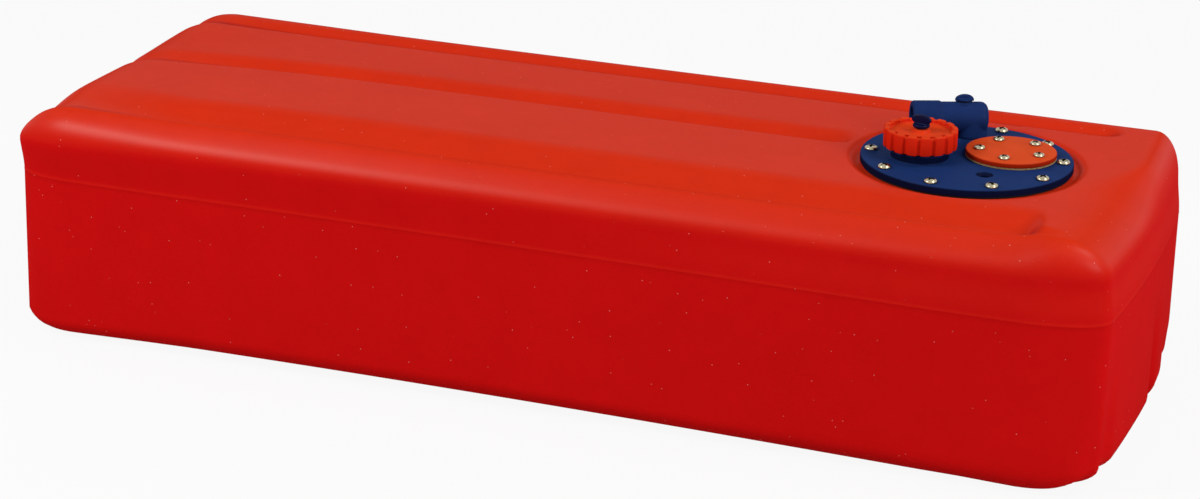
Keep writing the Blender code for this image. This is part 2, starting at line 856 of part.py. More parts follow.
def make_thumb_screws(deck_set, cap_axis):
    vent_seat = vent_boss_top + seat_gap
    make_thumb_seal("cap_vent_seal", vent_shank_radius, vent_seat, cap_axis, (0, 0))
    vent_base = vent_seat + thumb_seal_height + seat_gap
    vent = thumb_screw("cap_vent_screw", vent_collar_radius, vent_collar_height,
                       vent_shank_radius, vent_base - liner_bottom,
                       vent_tab_width, vent_tab_height, vent_collar_height / 4, dark_navy)
    place(vent, (0, 0, vent_base), vent_turn_angle - deck_set_angle, cap_axis)
    bleed_place = (outlet_along - bleed_offset, outlet_across)
    bleed_floor = bleed_seat + seat_gap
    make_thumb_seal("bleed_seal", bleed_shank_radius, bleed_floor, deck_set, bleed_place)
    bleed_base = bleed_floor + thumb_seal_height + seat_gap
    reach = bleed_base - barrel_axis - barrel_bore_radius
    bleed = thumb_screw("bleed_screw", bleed_collar_radius, bleed_collar_height,
                        bleed_shank_radius, reach,
                        bleed_tab_width, bleed_tab_height, bleed_collar_height, navy)
    place(bleed, (*bleed_place, bleed_base), 0, deck_set)


def make_thumb_seal(name, shank_radius, base, parent, centre):
    inner = shank_radius + bore_clearance
    outer = inner + thumb_seal_width
    ring = turned(name, [
        (outer, base + thumb_seal_height),
        (outer, base),
        (inner, base),
        (inner, base + thumb_seal_height),
    ], dark_rubber, 2 * small_steps, closed=True)
    place(ring, (*centre, 0), 0, parent)


def make_outlet(deck_set):
    spot = (outlet_along, outlet_across, 0)
    foot = flange_top + seat_gap
    spigot_end = flange_bottom - spigot_length
    elbow = turned("outlet_elbow", [
        (0.0, barrel_axis),
        (stem_radius, barrel_axis),
        (stem_radius, foot),
        (spigot_radius, foot),
        (spigot_radius, spigot_end),
        (0.0, spigot_end),
    ], navy, medium_steps)
    place(elbow, spot, 0, deck_set)
    end = barrel_end_round
    section = [(0.0, stem_radius)]
    section += quarter_round((barrel_radius - end, stem_radius - end), end, 90, 0, 4)
    section += [
        (barrel_radius, collar_length - barrel_length),
        (collar_radius, collar_length - barrel_length),
        (collar_radius, collar_mouth_round - barrel_length),
        (collar_radius - collar_mouth_round, -barrel_length),
        (0.0, -barrel_length),
    ]
    barrel = turned_helper("elbow_barrel", section, medium_steps)
    barrel.location = (0, 0, barrel_axis)
    barrel.rotation_euler = (0, math.radians(90), 0)
    barrel.parent = elbow
    combine(elbow, barrel, "UNION")
    boss = drill_set("bleed_boss", [(-bleed_offset, 0)], bleed_boss_radius,
                     barrel_axis, bleed_seat, 2 * small_steps)
    boss.parent = elbow
    combine(elbow, boss, "UNION")
    waterway = turned_helper("elbow_waterway", [
        (0.0, 0.0),
        (barrel_bore_radius, 0.0),
        (barrel_bore_radius, socket_depth - barrel_length),
        (socket_radius, socket_depth - barrel_length),
        (socket_radius, -barrel_length - overrun),
        (0.0, -barrel_length - overrun),
    ], 2 * small_steps)
    waterway.location = (0, 0, barrel_axis)
    waterway.rotation_euler = (0, math.radians(90), 0)
    waterway.parent = elbow
    combine(elbow, waterway, "DIFFERENCE")
    downway = drill_set("elbow_downway", [(0, 0)], suction_radius + seat_gap,
                        spigot_end - overrun, barrel_axis, 2 * small_steps)
    downway.parent = elbow
    combine(elbow, downway, "DIFFERENCE")
    bleed_way = drill_set("bleed_way", [(-bleed_offset, 0)],
                          bleed_shank_radius + bore_clearance,
                          barrel_axis, bleed_seat + overrun, small_steps)
    bleed_way.parent = elbow
    combine(elbow, bleed_way, "DIFFERENCE")
    make_outlet_nut(deck_set, spot)
    make_suction(deck_set, spot, spigot_end)


def make_outlet_nut(deck_set, spot):
    bore = spigot_radius + bore_clearance
    seal_top = flange_bottom - seat_gap
    seal_floor = seal_top - outlet_seal_thickness
    seal = turned("outlet_seal", [
        (bore + outlet_seal_width, seal_top),
        (bore + outlet_seal_width, seal_floor),
        (bore, seal_floor),
        (bore, seal_top),
    ], dark_rubber, medium_steps, closed=True)
    place(seal, spot, 0, deck_set)
    nut_top = seal_floor - seat_gap
    corner = nut_across_flats / 2 / math.cos(math.radians(30))
    nut = solid("outlet_nut", rod_mesh("outlet_nut", corner, nut_top - nut_thickness,
                                       nut_top, 6), navy)
    place(nut, spot, 0, deck_set)
    hole = drill_set("outlet_nut_bore", [(0, 0)], bore, nut_top - nut_thickness - overrun,
                     nut_top + overrun, medium_steps)
    place(hole, spot, 0, deck_set)
    combine(nut, hole, "DIFFERENCE")


def make_suction(deck_set, spot, spigot_end):
    tube_top = spigot_end + suction_engagement
    tube = turned("suction_tube", [
        (suction_radius, tube_top),
        (suction_radius, suction_foot_height),
        (suction_bore_radius, suction_foot_height),
        (suction_bore_radius, tube_top),
    ], pale_plastic, 2 * small_steps, closed=True)
    place(tube, spot, 0, deck_set)
    grip = suction_radius + seat_gap
    top = suction_foot_height + strainer_grip
    base = top - strainer_height
    ledge = suction_foot_height - seat_gap
    strainer = turned("suction_strainer", [
        (strainer_radius, top),
        (strainer_radius, base),
        (0.0, base),
        (0.0, base + strainer_floor),
        (suction_bore_radius, base + strainer_floor),
        (suction_bore_radius, ledge),
        (grip, ledge),
        (grip, top),
    ], pale_plastic, 2 * small_steps, closed=True)
    place(strainer, spot, 0, deck_set)
    bm = bmesh.new()
    middle = base + strainer_floor + strainer_slot_height / 2
    for number in range(strainer_slot_count // 2):
        angle = math.pi * number / (strainer_slot_count // 2)
        bar = Matrix.Translation((0, 0, middle)) @ Matrix.Rotation(angle, 4, "Z")
        bar = bar @ Matrix.Diagonal((2 * strainer_radius + 2 * overrun,
                                     strainer_slot_width, strainer_slot_height, 1))
        bar_mesh = bmesh.new()
        bmesh.ops.create_cube(bar_mesh, size=1, matrix=bar)
        piece = mesh_from(bar_mesh, "slot")
        bm.from_mesh(piece)
        bpy.data.meshes.remove(piece)
    slots = helper("strainer_slots", mesh_from(bm, "strainer_slots"))
    place(slots, spot, 0, deck_set)
    cut = strainer.modifiers.new("strainer_slots", "BOOLEAN")
    cut.object = slots
    cut.operation = "DIFFERENCE"
    cut.solver = "EXACT"
    cut.use_self = True


def axis_empty(name, at, turn, parent=None):
    made = bpy.data.objects.new(name, None)
    parts.objects.link(made)
    place(made, at, turn, parent)
    return made


empty_scene()
parts = collection("fuel_tank", True)
cutters = collection("cutters", False)
red = material("red_polyethylene", (0.58, 0.016, 0.010), 0.42)
navy = material("navy_nylon", (0.020, 0.035, 0.120), 0.45)
dark_navy = material("dark_navy_nylon", (0.012, 0.016, 0.070), 0.40)
orange = material("orange_nylon", (0.72, 0.055, 0.012), 0.38)
dark_rubber = material("black_nitrile", (0.02, 0.02, 0.02), 0.70)
cork_sheet = material("cork_sheet", (0.45, 0.28, 0.12), 0.85)
pale_plastic = material("natural_polyethylene", (0.75, 0.74, 0.70), 0.50)
steel = material("stainless_steel", (0.62, 0.58, 0.48), 0.25, 1.0)
brass = material("brass", (0.70, 0.50, 0.20), 0.35, 1.0)
aluminium = material("aluminium", (0.70, 0.70, 0.72), 0.40, 1.0)

flange_screw_places = circle_points(flange_screw_count, flange_screw_circle, flange_screw_angle)
sender_screw_places = circle_points(sender_screw_count, sender_screw_circle, sender_screw_angle)
flange_frame = axis_empty("flange_frame", (flange_x, 0, 0), 0)
deck_set = axis_empty("deck_set", (flange_x, 0, 0), deck_set_angle)
cap_axis = axis_empty("cap_axis", (-neck_offset, 0, 0), 0, deck_set)
make_tank()
make_gasket(flange_frame)
make_flange(deck_set, flange_frame)
make_flange_screws(flange_frame)
make_sender_station(deck_set)
make_cap(cap_axis)
make_outlet(deck_set)
make_thumb_screws(deck_set, cap_axis)
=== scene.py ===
"""Studio scene of a moulded fuel tank: its finishes, its fine shapes, the light and the camera."""

import math

import bmesh
import bpy
from mathutils import Matrix, Vector


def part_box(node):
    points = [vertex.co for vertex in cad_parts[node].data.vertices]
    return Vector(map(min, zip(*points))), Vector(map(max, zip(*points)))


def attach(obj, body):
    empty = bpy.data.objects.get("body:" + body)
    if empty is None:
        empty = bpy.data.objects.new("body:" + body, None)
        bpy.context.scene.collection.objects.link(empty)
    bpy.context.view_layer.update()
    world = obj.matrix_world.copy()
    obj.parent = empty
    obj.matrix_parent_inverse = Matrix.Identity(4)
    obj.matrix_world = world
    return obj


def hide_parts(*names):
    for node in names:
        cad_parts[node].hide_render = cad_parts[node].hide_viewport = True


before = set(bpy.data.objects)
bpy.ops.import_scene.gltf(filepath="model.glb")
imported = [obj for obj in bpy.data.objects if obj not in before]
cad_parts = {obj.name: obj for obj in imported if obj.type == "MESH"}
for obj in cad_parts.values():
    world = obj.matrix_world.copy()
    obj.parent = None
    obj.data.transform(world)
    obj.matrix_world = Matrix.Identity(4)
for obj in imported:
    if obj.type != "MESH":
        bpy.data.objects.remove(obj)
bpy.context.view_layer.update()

# Overall sizes, taken from the frame
shell_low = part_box("tank_shell")[0]
flange_low, flange_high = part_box("flange_plate")
gasket_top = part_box("flange_gasket")[1].z
plate_low, plate_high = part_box("sender_blank_plate")
cap_low, cap_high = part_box("filler_cap")
liner_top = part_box("cap_liner")[1].z
vent_low, vent_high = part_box("cap_vent_screw")
vent_seal_low, vent_seal_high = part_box("cap_vent_seal")
bleed_low, bleed_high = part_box("bleed_screw")
bleed_seal_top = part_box("bleed_seal")[1].z
seal_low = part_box("cap_seal")[0]


def middle_of(node):
    """The middle of a node's footprint."""
    low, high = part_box(node)
    return Vector(((low.x + high.x) / 2, (low.y + high.y) / 2, 0))


flange_centre = middle_of("flange_plate")
flange_radius = (flange_high.x - flange_low.x) / 2
sender_centre = middle_of("sender_blank_plate")
cap_centre = middle_of("filler_cap")
outlet_centre = middle_of("outlet_seal")
bleed_centre = middle_of("bleed_seal")

# Tank body. The sizes are those of the solids, apart from the parting line's thin ridge, which
# only the scene shows, and the right end's bulge, which is smaller here to leave room for it.
tank_length = 0.995
tank_width = 0.350
tank_height = 0.225
tank_wall = 0.005
parting_ridge = 0.0003
parting_half_width = 0.0008
left_round = 0.058
right_front_round = 0.070
right_back_round = 0.024
front_side_round = 0.038
left_side_round = 0.029
right_side_round = 0.027
back_side_round = 0.026
deck_round = 0.036
left_deck_round = 0.044
back_deck_round = 0.041
floor_round = 0.024
left_floor_round = 0.018
left_change_run = 0.180
right_change_run = 0.150
side_change_half_run = 0.060
parting_height = 0.153
left_flare = 0.0036
right_bulge = 0.00328
wall_bow = 0.003
floor_arch = 0.0006
arch_inset = 0.150
right_crown = 0.0085
right_crown_run = 0.150
left_taper_run = 0.224
left_taper_start = 0.060
left_taper_share = 0.033
left_taper_growth_share = 0.10

# Flutes pressed into the deck, each with a bed line and a bank on either side of it
front_flute_inset = 0.031
front_flute_near = 0.010
front_flute_far = 0.045
front_flute_depth = 0.014
front_flute_end_inset = 0.082
middle_flute_offset = 0.014
middle_flute_near = 0.011
middle_flute_far = 0.028
middle_flute_depth = 0.008
middle_flute_end_inset = 0.288
back_flute_inset = 0.047
back_flute_near = 0.012
back_flute_far = 0.020
back_flute_depth = 0.007
back_flute_end_inset = 0.070
flute_end_run = 0.020
# Half width of the painted shade along each flute's bed
flute_shade_half_width = 0.008
front_rail_drop = 0.005
front_rail_run_share = 2.5
left_widening_run = 0.170
front_widening_share = 0.73
back_widening_share = 0.12
left_shallowing_share = 0.55

# Fall of the deck towards the left end
deck_fall = 0.0112
deck_fall_start = 0.190
deck_fall_front = 0.117
deck_fall_front_run = 0.065
deck_fall_back = 0.020
deck_fall_back_run = 0.118
left_deck_lift = 0.0020

# Creases in the floor, which run on up the right end and notch its lower edge
front_crease_inset = 0.019
front_crease_depth = 0.0055
front_crease_half_width = 0.010
front_crease_rise = 0.104
second_crease_inset = 0.042
second_crease_depth = 0.005
second_crease_half_width = 0.024
second_crease_rise = 0.150
third_crease_offset = 0.050
third_crease_depth = 0.012
third_crease_half_width = 0.023
third_crease_rise = 0.130
back_crease_inset = 0.043
back_crease_depth = 0.014
back_crease_half_width = 0.032
back_crease_rise = 0.054

# Sunk seat and hand hole
hand_hole_radius = 0.0745
seat_radius = 0.0940
seat_slope_run = 0.0095
seat_depth = 0.0045
ring_radius = 0.106
ring_depth = 0.018
apron_radius = 0.112
seat_level = tank_height - seat_depth

# How soon a face that leans up, down or outward counts in full
facing_gain = 1.5
rail_facing_gain = 1.3
bed_facing_gain = 4

# Grid of the fine skin
outer_step = 0.0040
inner_step = 0.0120
round_steps = 160

# Studio light
paper_grey = 0.55
paper_glow = 0.92
fill_strength = 0.30
warm = (1.0, 0.94, 0.86)

# Flange with its neck, ports and thread
seat_gap = 0.0003
deck_set_turn = math.radians(24.0)
flange_thickness = 0.006
flange_top = gasket_top + seat_gap + flange_thickness
flange_edge_round = 0.0015
neck_bore_radius = 0.0205
neck_radius = 0.0247
neck_foot_round = 0.0012
neck_top_round = 0.001
neck_top = seal_low.z - seat_gap
neck_reach = 0.030
sender_bore_radius = 0.0205
spigot_bore_radius = 0.0094
port_place = (0.0059, -0.0499, 0)
thread_pitch = 0.0035
thread_crest = 0.0010
thread_foot_half = 0.0012
thread_crest_half = 0.0003
thread_steps = 96

# Filler cap
cap_rim_inner = 0.0264
cap_outer = 0.0316
cap_skirt_inner = 0.0262
cap_disc_thickness = 0.0027
cap_soft = 0.0012
vent_hole_radius = 0.0034
cap_lobes = 16
steps_per_lobe = 14
groove_half_width = 0.10
groove_bank = 0.13
groove_depth = 0.0024
notch_depth = 0.0018

# Blanking plate and screws
plate_edge_round = 0.0013
shank_radius = 0.0025
head_rim_share = 0.28
recess_length_share = 1.25
recess_width_share = 0.34
recess_depth_share = 1.3
recess_heart_share = 0.38
recess_shade_depth_share = 0.25

# Elbow and thumb screws
elbow_axis_height = 0.0166
barrel_radius = 0.0136
barrel_length = 0.0535
barrel_end_round = 0.0062
elbow_collar_radius = 0.0146
elbow_collar_length = 0.0245
collar_mouth_round = 0.002
barrel_end_inset = 0.0004
socket_depth = 0.024
socket_radius = 0.0092
waterway_radius = 0.0066
spigot_radius = 0.009
spigot_reach = 0.026
bleed_boss_radius = 0.0072
bleed_boss_height = 0.0006
bleed_offset = 0.0078
bleed_tab_drop = 0.0036
thumb_edge_round = 0.0006


def soft_step(share):
    """Rises smoothly from zero to one as the share does."""
    share = min(max(share, 0.0), 1.0)
    return share * share * (3.0 - 2.0 * share)


def clamp(value, low, high):
    """The value, kept between two bounds."""
    return min(max(value, low), high)


# Moulded tank skin

# The three deck flutes: bed line, near bank, far bank, depth, right end, widening to the left
flutes = (
    (-tank_width / 2 + front_flute_inset, front_flute_near, front_flute_far,
     front_flute_depth, tank_length / 2 - front_flute_end_inset, front_widening_share),
    (middle_flute_offset, middle_flute_near, middle_flute_far,
     middle_flute_depth, tank_length / 2 - middle_flute_end_inset, 0.0),
    (tank_width / 2 - back_flute_inset, back_flute_near, back_flute_far,
     back_flute_depth, tank_length / 2 - back_flute_end_inset, back_widening_share),
)
# The floor's creases: line, depth, half width, height to which they run up the right end
creases = (
    (-tank_width / 2 + front_crease_inset, front_crease_depth,
     front_crease_half_width, front_crease_rise),
    (-tank_width / 2 + second_crease_inset, second_crease_depth,
     second_crease_half_width, second_crease_rise),
    (third_crease_offset, third_crease_depth, third_crease_half_width, third_crease_rise),
    (tank_width / 2 - back_crease_inset, back_crease_depth,
     back_crease_half_width, back_crease_rise),
)


def left_share(x, run):
    """Zero a run's length short of the left end, and one at the end."""
    return clamp((run - x - tank_length / 2) / run, 0.0, 1.0)


def right_share(x, run):
    """Zero a run's length short of the right end, and one at the end."""
    return clamp((run + x - tank_length / 2) / run, 0.0, 1.0)


def blend(first, last, share):
    """A value between two others, by a share."""
    return first + (last - first) * share


def deck_press(point, normal):
    """How far the deck is pressed in at a place on it."""
    pressed = 0.0
    share = soft_step(left_share(point.x, left_widening_run))
    for number, (bed, near, far, depth, end, widening) in enumerate(flutes):
        past = max(0.0, point.x - end) / flute_end_run
        reach = near if point.y < bed else blend(far, far + far * widening, share)
        bank = soft_step(math.hypot(past, (point.y - bed) / reach))
        rail = 0.0
        if number == 0 and point.y < bed:
            rail = front_rail_drop * (1.0 - soft_step(past / front_rail_run_share))
        bed_depth = blend(depth, depth - depth * left_shallowing_share, share)
        pressed += rail * soft_step(normal.z * rail_facing_gain)
        pressed += (bed_depth - rail) * (1.0 - bank) * soft_step(normal.z * bed_facing_gain)
    return pressed


def deck_drop(x, y):
    """How far the deck lies below its level towards the left end."""
    along = max(0.0, -x - deck_fall_start) / (tank_length / 2 - deck_fall_start)
    front = soft_step((y + deck_fall_front + deck_fall_front_run) / deck_fall_front_run)
    back = soft_step((deck_fall_back + deck_fall_back_run - y) / deck_fall_back_run)
    return along ** 2 * (deck_fall * front * back - left_deck_lift)


def middle_share(x):
    """One at the middle of the tank's length, and zero from each end's arch inset outward."""
    return max(0.0, 1.0 - (x / (tank_length / 2 - arch_inset)) ** 2)


def crease_press(point, normal):
    """How far the creases press in the floor and the foot of the right end at a place."""
    pressed = 0.0
    low_share = soft_step(-normal.z * facing_gain)
    for line, depth, reach, rise in creases:
        end_share = soft_step(normal.x * facing_gain) * soft_step(1.0 - point.z / rise)
        share = max(low_share, end_share)
        pressed += depth * share * (1.0 - soft_step(abs(point.y - line) / reach))
    return pressed


def end_bend(x, y):
    """How far a place is moved along by the left end's taper and the right end's crown."""
    away = max(0.0, y + left_taper_start)
    taper = left_taper_share * away + left_taper_growth_share * away ** 2 / tank_width
    crown = right_crown * (2 * y / tank_width) ** 2
    return taper * left_share(x, left_taper_run) - crown * right_share(x, right_crown_run)


def moulded(spot, inset):
    """Takes a point of the sharp box to the moulded body, a wall's thickness further in."""
    half_length, half_width = tank_length / 2, tank_width / 2
    left = soft_step(left_share(spot.x, left_change_run))
    right = soft_step(right_share(spot.x, right_change_run))
    back = soft_step((spot.y / side_change_half_run + 1.0) / 2)
    end_round = left_round
    if spot.x > 0:
        end_round = blend(right_front_round, right_back_round, back)
    edge_round = back_side_round
    if spot.y < 0:
        edge_round = blend(blend(front_side_round, left_side_round, left),
                           right_side_round, right)
    top_round = blend(blend(deck_round, left_deck_round, left), back_deck_round, back)
    low_round = blend(floor_round, left_floor_round, left)
    radii = Vector((end_round, edge_round,
                    low_round if spot.z < tank_height / 2 else top_round))
    core = Vector((
        clamp(spot.x, -half_length + left_round, half_length - end_round),
        clamp(spot.y, -half_width + edge_round, half_width - edge_round),
        clamp(spot.z, low_round, tank_height - top_round),
    ))
    away = spot - core
    lean = Vector((away.x / radii.x, away.y / radii.y, away.z / radii.z)).normalized()
    point = core + Vector((lean.x * radii.x, lean.y * radii.y, lean.z * radii.z))
    normal = Vector((lean.x / radii.x, lean.y / radii.y, lean.z / radii.z)).normalized()
    upright = clamp(math.hypot(normal.x, normal.y), 0.0, 1.0)
    inward = inset
    inward += deck_press(point, normal)
    inward += floor_arch * middle_share(point.x) * soft_step(-normal.z * facing_gain)
    inward += crease_press(point, normal)
    rise = (point.z - parting_height) / (tank_height - deck_round - parting_height)
    flare = blend(left_flare, -right_bulge, soft_step(point.x / tank_length + 1 / 2))
    inward += flare * (1.0 - soft_step(rise)) * upright
    inward += wall_bow * abs(normal.y) * middle_share(point.x)
    if inset == 0.0:
        ridge = abs(spot.z - parting_height) / parting_half_width
        inward -= parting_ridge * (1.0 - soft_step(ridge))
    point -= normal * inward
    height_share = clamp((point.z - parting_height) / (tank_height - parting_height), 0.0, 1.0)
    point.z -= deck_drop(point.x, point.y) * height_share
    point.x += end_bend(point.x, point.y)
    return point


def subdivide_along(bm, axis, count):
    """Cuts every edge that runs along an axis into equal lengths."""
    along = []
    for edge in bm.edges:
        run = edge.verts[1].co - edge.verts[0].co
        if abs(run[axis]) > 0.5 * run.length:
            along.append(edge)
    bmesh.ops.subdivide_edges(bm, edges=along, cuts=count - 1, use_grid_fill=True)


def boxed_grid(step):
    """The sharp box with its sides cut into a grid."""
    bm = bmesh.new()
    place = Matrix.Translation((0, 0, tank_height / 2))
    place = place @ Matrix.Diagonal((tank_length, tank_width, tank_height, 1))
    bmesh.ops.create_cube(bm, size=1, matrix=place)
    for axis, size in enumerate((tank_length, tank_width, tank_height)):
        subdivide_along(bm, axis, round(size / step))
    return bm


def cut_parting_lines(bm):
    """Extra rows of edges that carry the thin ridge of the parting line."""
    for share in (-1.0, 0.0, 1.0):
        everything = bm.verts[:] + bm.edges[:] + bm.faces[:]
        level = Vector((0, 0, parting_height + share * parting_half_width))
        bmesh.ops.bisect_plane(bm, geom=everything, dist=0.00001, plane_co=level,
                               plane_no=(0, 0, 1))


def open_deck(bm, radius):
    """Takes the deck away round the hand hole, and rounds off the edge that is left."""
    gone = []
    for face in bm.faces:
        if face.normal.z < 0.5:
            continue
        if min((vert.co.xy - flange_centre.xy).length for vert in face.verts) < radius:
            gone.append(face)
    bmesh.ops.delete(bm, geom=gone, context="FACES")
    edge = [e for e in bm.edges if e.is_boundary]
    for vert in {vert for e in edge for vert in e.verts}:
        away = (vert.co.xy - flange_centre.xy).normalized() * radius
        vert.co.xy = flange_centre.xy + away


def tank_skin():
    """Outer and inner wall of the body, joined round the hand hole by its seat and thick ring."""
    bm = boxed_grid(outer_step)
    bm.normal_update()
    cut_parting_lines(bm)
    open_deck(bm, apron_radius)
    for vert in bm.verts:
        vert.co = moulded(vert.co, 0.0)
    left_reach = shell_low.x / min(vert.co.x for vert in bm.verts)
    for vert in bm.verts:
        vert.co.x *= left_reach if vert.co.x < 0 else 1
        vert.co.z = max(vert.co.z, shell_low.z)
    inner = boxed_grid(inner_step)
    inner.normal_update()
    open_deck(inner, ring_radius)
    for vert in inner.verts:
        vert.co = moulded(vert.co, tank_wall)
    bmesh.ops.reverse_faces(inner, faces=inner.faces)
    lining = bpy.data.meshes.new("tank_lining")
    inner.to_mesh(lining)
    inner.free()
    outer_edge = [e for e in bm.edges if e.is_boundary]
    bm.from_mesh(lining)
    bpy.data.meshes.remove(lining)
    inner_edge = [e for e in bm.edges if e.is_boundary and e not in set(outer_edge)]
    ring = seat_ring(bm)
    bmesh.ops.bridge_loops(bm, edges=outer_edge + ring[0])
    bmesh.ops.bridge_loops(bm, edges=inner_edge + ring[1])
    bmesh.ops.recalc_face_normals(bm, faces=bm.faces)
    bm.normal_update()
    upward = bm.verts.layers.float.new("upward")
    hollow = bm.verts.layers.float.new("hollow")
    for vert in bm.verts:
        vert[upward] = max(0.0, vert.normal.z)
        # Marks the flute beds for their painted shade
        vert[hollow] = flute_bed_share(vert.co) * soft_step(vert.normal.z * facing_gain)
    return bm


def flute_bed_share(point):
    """One on the bed line of a flute, falling to zero a little way up its banks."""
    share = 0.0
    for bed, _, _, _, end, _ in flutes:
        across = 1.0 - soft_step(abs(point.y - bed) / flute_shade_half_width)
        share = max(share, across * (1.0 - soft_step((point.x - end) / flute_end_run)))
    return share


def seat_ring(bm):
    """The turned strip from the deck down the seat and the hand hole to under the deck.
    Returns its outer and its inner edge."""
    slope = seat_radius + seat_slope_run
    soft = seat_slope_run / 4
    section = (
        (slope + soft, tank_height),
        (slope, tank_height - seat_depth * 0.03),
        (slope - soft, tank_height - seat_depth * 0.16),
        (slope - 2 * soft, tank_height - seat_depth * 0.50),
        (slope - 3 * soft, tank_height - seat_depth * 0.84),
        (slope - 4 * soft, tank_height - seat_depth * 0.97),
        (seat_radius - soft, seat_level),
        (hand_hole_radius, seat_level),
        (hand_hole_radius, seat_level - ring_depth),
        (ring_radius - ring_depth / 2, seat_level - ring_depth),
        (ring_radius - ring_depth / 6, tank_height - tank_wall - 0.002),
    )
    points = [bm.verts.new(flange_centre + Vector((radius, 0, level)))
              for radius, level in section]
    edges = [bm.edges.new(pair) for pair in zip(points, points[1:])]
    bmesh.ops.spin(bm, geom=points + edges, cent=flange_centre, axis=(0, 0, 1),
                   angle=math.tau, steps=round_steps, use_merge=True)
    first, last = set(), set()
    reach = 0.0002
    for edge in bm.edges:
        if not edge.is_boundary:
            continue
        radius = (edge.verts[0].co.xy - flange_centre.xy).length
        level = edge.verts[0].co.z
        if abs(radius - section[0][0]) < reach and abs(level - section[0][1]) < reach:
            first.add(edge)
        if abs(radius - section[-1][0]) < reach and abs(level - section[-1][1]) < reach:
            last.add(edge)
    for vert in {vert for edge in first for vert in edge.verts}:
        vert.co.z -= deck_press(vert.co, Vector((0, 0, 1)))
    return list(first), list(last)


# Shared tools for the pieces

def object_from(name, mesh):
    """An object of the scene with the mesh, at the origin."""
    made = bpy.data.objects.new(name, mesh)
    bpy.context.scene.collection.objects.link(made)
    return made


def mesh_from(bm, name):
    """Ends the work on a mesh in the making, and returns it."""
    mesh = bpy.data.meshes.new(name)
    bm.to_mesh(mesh)
    bm.free()
    return mesh


def show(name, mesh, finish, slot, body, *nodes, sharp=math.radians(38)):
    """Shows a finished mesh, carried by a body, in place of the nodes that it stands for."""
    mesh.shade_smooth()
    mesh.set_sharp_from_angle(angle=sharp)
    mesh.materials.clear()
    mesh.materials.append(finish)
    made = object_from(name, mesh)
    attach(made, body)
    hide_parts(*nodes)


def note(mesh, label, value):
    """Writes a value for each vertex on the mesh, for its material to read."""
    layer = mesh.attributes.new(label, "FLOAT", "POINT")
    for vert in mesh.vertices:
        layer.data[vert.index].value = value(vert)


def turned(bm, section, steps):
    """Adds a turned shape. A section that ends on the axis closes there."""
    points = [bm.verts.new((radius, 0, height)) for radius, height in section]
    edges = [bm.edges.new(pair) for pair in zip(points, points[1:])]
    if section[0][0] > 0:
        edges.append(bm.edges.new((points[-1], points[0])))
    bmesh.ops.spin(bm, geom=points + edges, cent=(0, 0, 0), axis=(0, 0, 1),
                   angle=math.tau, steps=steps, use_merge=True)
    bmesh.ops.remove_doubles(bm, verts=bm.verts, dist=0.000005)


def turned_mesh(name, section, steps, place=Matrix.Identity(4)):
    """A turned shape, put in its place."""
    bm = bmesh.new()
    turned(bm, section, steps)
    bmesh.ops.recalc_face_normals(bm, faces=bm.faces)
    bmesh.ops.transform(bm, matrix=place, verts=bm.verts)
    return mesh_from(bm, name)


def rod_mesh(name, radius, low, high, steps, place=Matrix.Identity(4)):
    """An upright rod between two levels."""
    bm = bmesh.new()
    middle = place @ Matrix.Translation((0, 0, (low + high) / 2))
    bmesh.ops.create_cone(bm, cap_ends=True, segments=steps, radius1=radius, radius2=radius,
                          depth=high - low, matrix=middle)
    return mesh_from(bm, name)


def bar_mesh(name, size, place=Matrix.Identity(4)):
    """A box round its place."""
    bm = bmesh.new()
    bmesh.ops.create_cube(bm, size=1, matrix=place @ Matrix.Diagonal((*size, 1)))
    return mesh_from(bm, name)


def combined(name, base, joined=(), cut=(), voxel=0.0, softening=0):
    """The base mesh with others joined to it and cut from it, then softened if asked."""
    body = object_from(name, base)
    helpers = []
    for operation, meshes in (("UNION", joined), ("DIFFERENCE", cut)):
        for mesh in meshes:
            helper = object_from(mesh.name, mesh)
            helpers.append(helper)
            step = body.modifiers.new(mesh.name, "BOOLEAN")
            step.object = helper
            step.operation = operation
            step.solver = "EXACT"
    if voxel:
        skin = body.modifiers.new("Skin", "REMESH")
        skin.mode = "VOXEL"
        skin.voxel_size = voxel
        smooth = body.modifiers.new("Soften", "SMOOTH")
        smooth.factor = 0.5
        smooth.iterations = softening
    bpy.context.view_layer.update()
    graph = bpy.context.evaluated_depsgraph_get()
    result = bpy.data.meshes.new_from_object(body.evaluated_get(graph))
    result.name = name
    for thing in [body] + helpers:
        old = thing.data
        bpy.data.objects.remove(thing, do_unlink=True)
        bpy.data.meshes.remove(old)
    return result


def arc(centre, radius, first, last, steps):
    """Points of an arc in a half section; the angles are in degrees from outward."""
    points = []
    for i in range(steps + 1):
        angle = math.radians(first + (last - first) * i / steps)
        points.append((centre[0] + radius * math.cos(angle), centre[1] + radius * math.sin(angle)))
    return points


def at(centre, turn=0.0):
    """The place at a centre, turned about the upright axis."""
    return Matrix.Translation(centre) @ Matrix.Rotation(turn, 4, "Z")


# Materials

def new_finish(name):
    """A new material, with its nodes, its links and its shader."""
    made = bpy.data.materials.new(name)
    made.use_nodes = True
    nodes = made.node_tree.nodes
    return made, nodes, made.node_tree.links, nodes["Principled BSDF"]


def object_noise(nodes, links, scale, detail, roughness=0.5):
    """A noise fixed to the object."""
    where = nodes.new("ShaderNodeTexCoord")
    noise = nodes.new("ShaderNodeTexNoise")
    noise.inputs["Scale"].default_value = scale
    noise.inputs["Detail"].default_value = detail
    noise.inputs["Roughness"].default_value = roughness
    links.new(where.outputs["Object"], noise.inputs["Vector"])
    return noise


def object_cells(nodes, links, scale):
    """The distance to the nearest of many scattered points, fixed to the object."""
    where = nodes.new("ShaderNodeTexCoord")
    cells = nodes.new("ShaderNodeTexVoronoi")
    cells.inputs["Scale"].default_value = scale
    links.new(where.outputs["Object"], cells.inputs["Vector"])
    return cells.outputs["Distance"]


def noted(nodes, label):
    """The value that a mesh carries for each of its vertices under a label."""
    made = nodes.new("ShaderNodeAttribute")
    made.attribute_name = label
    return made.outputs["Fac"]


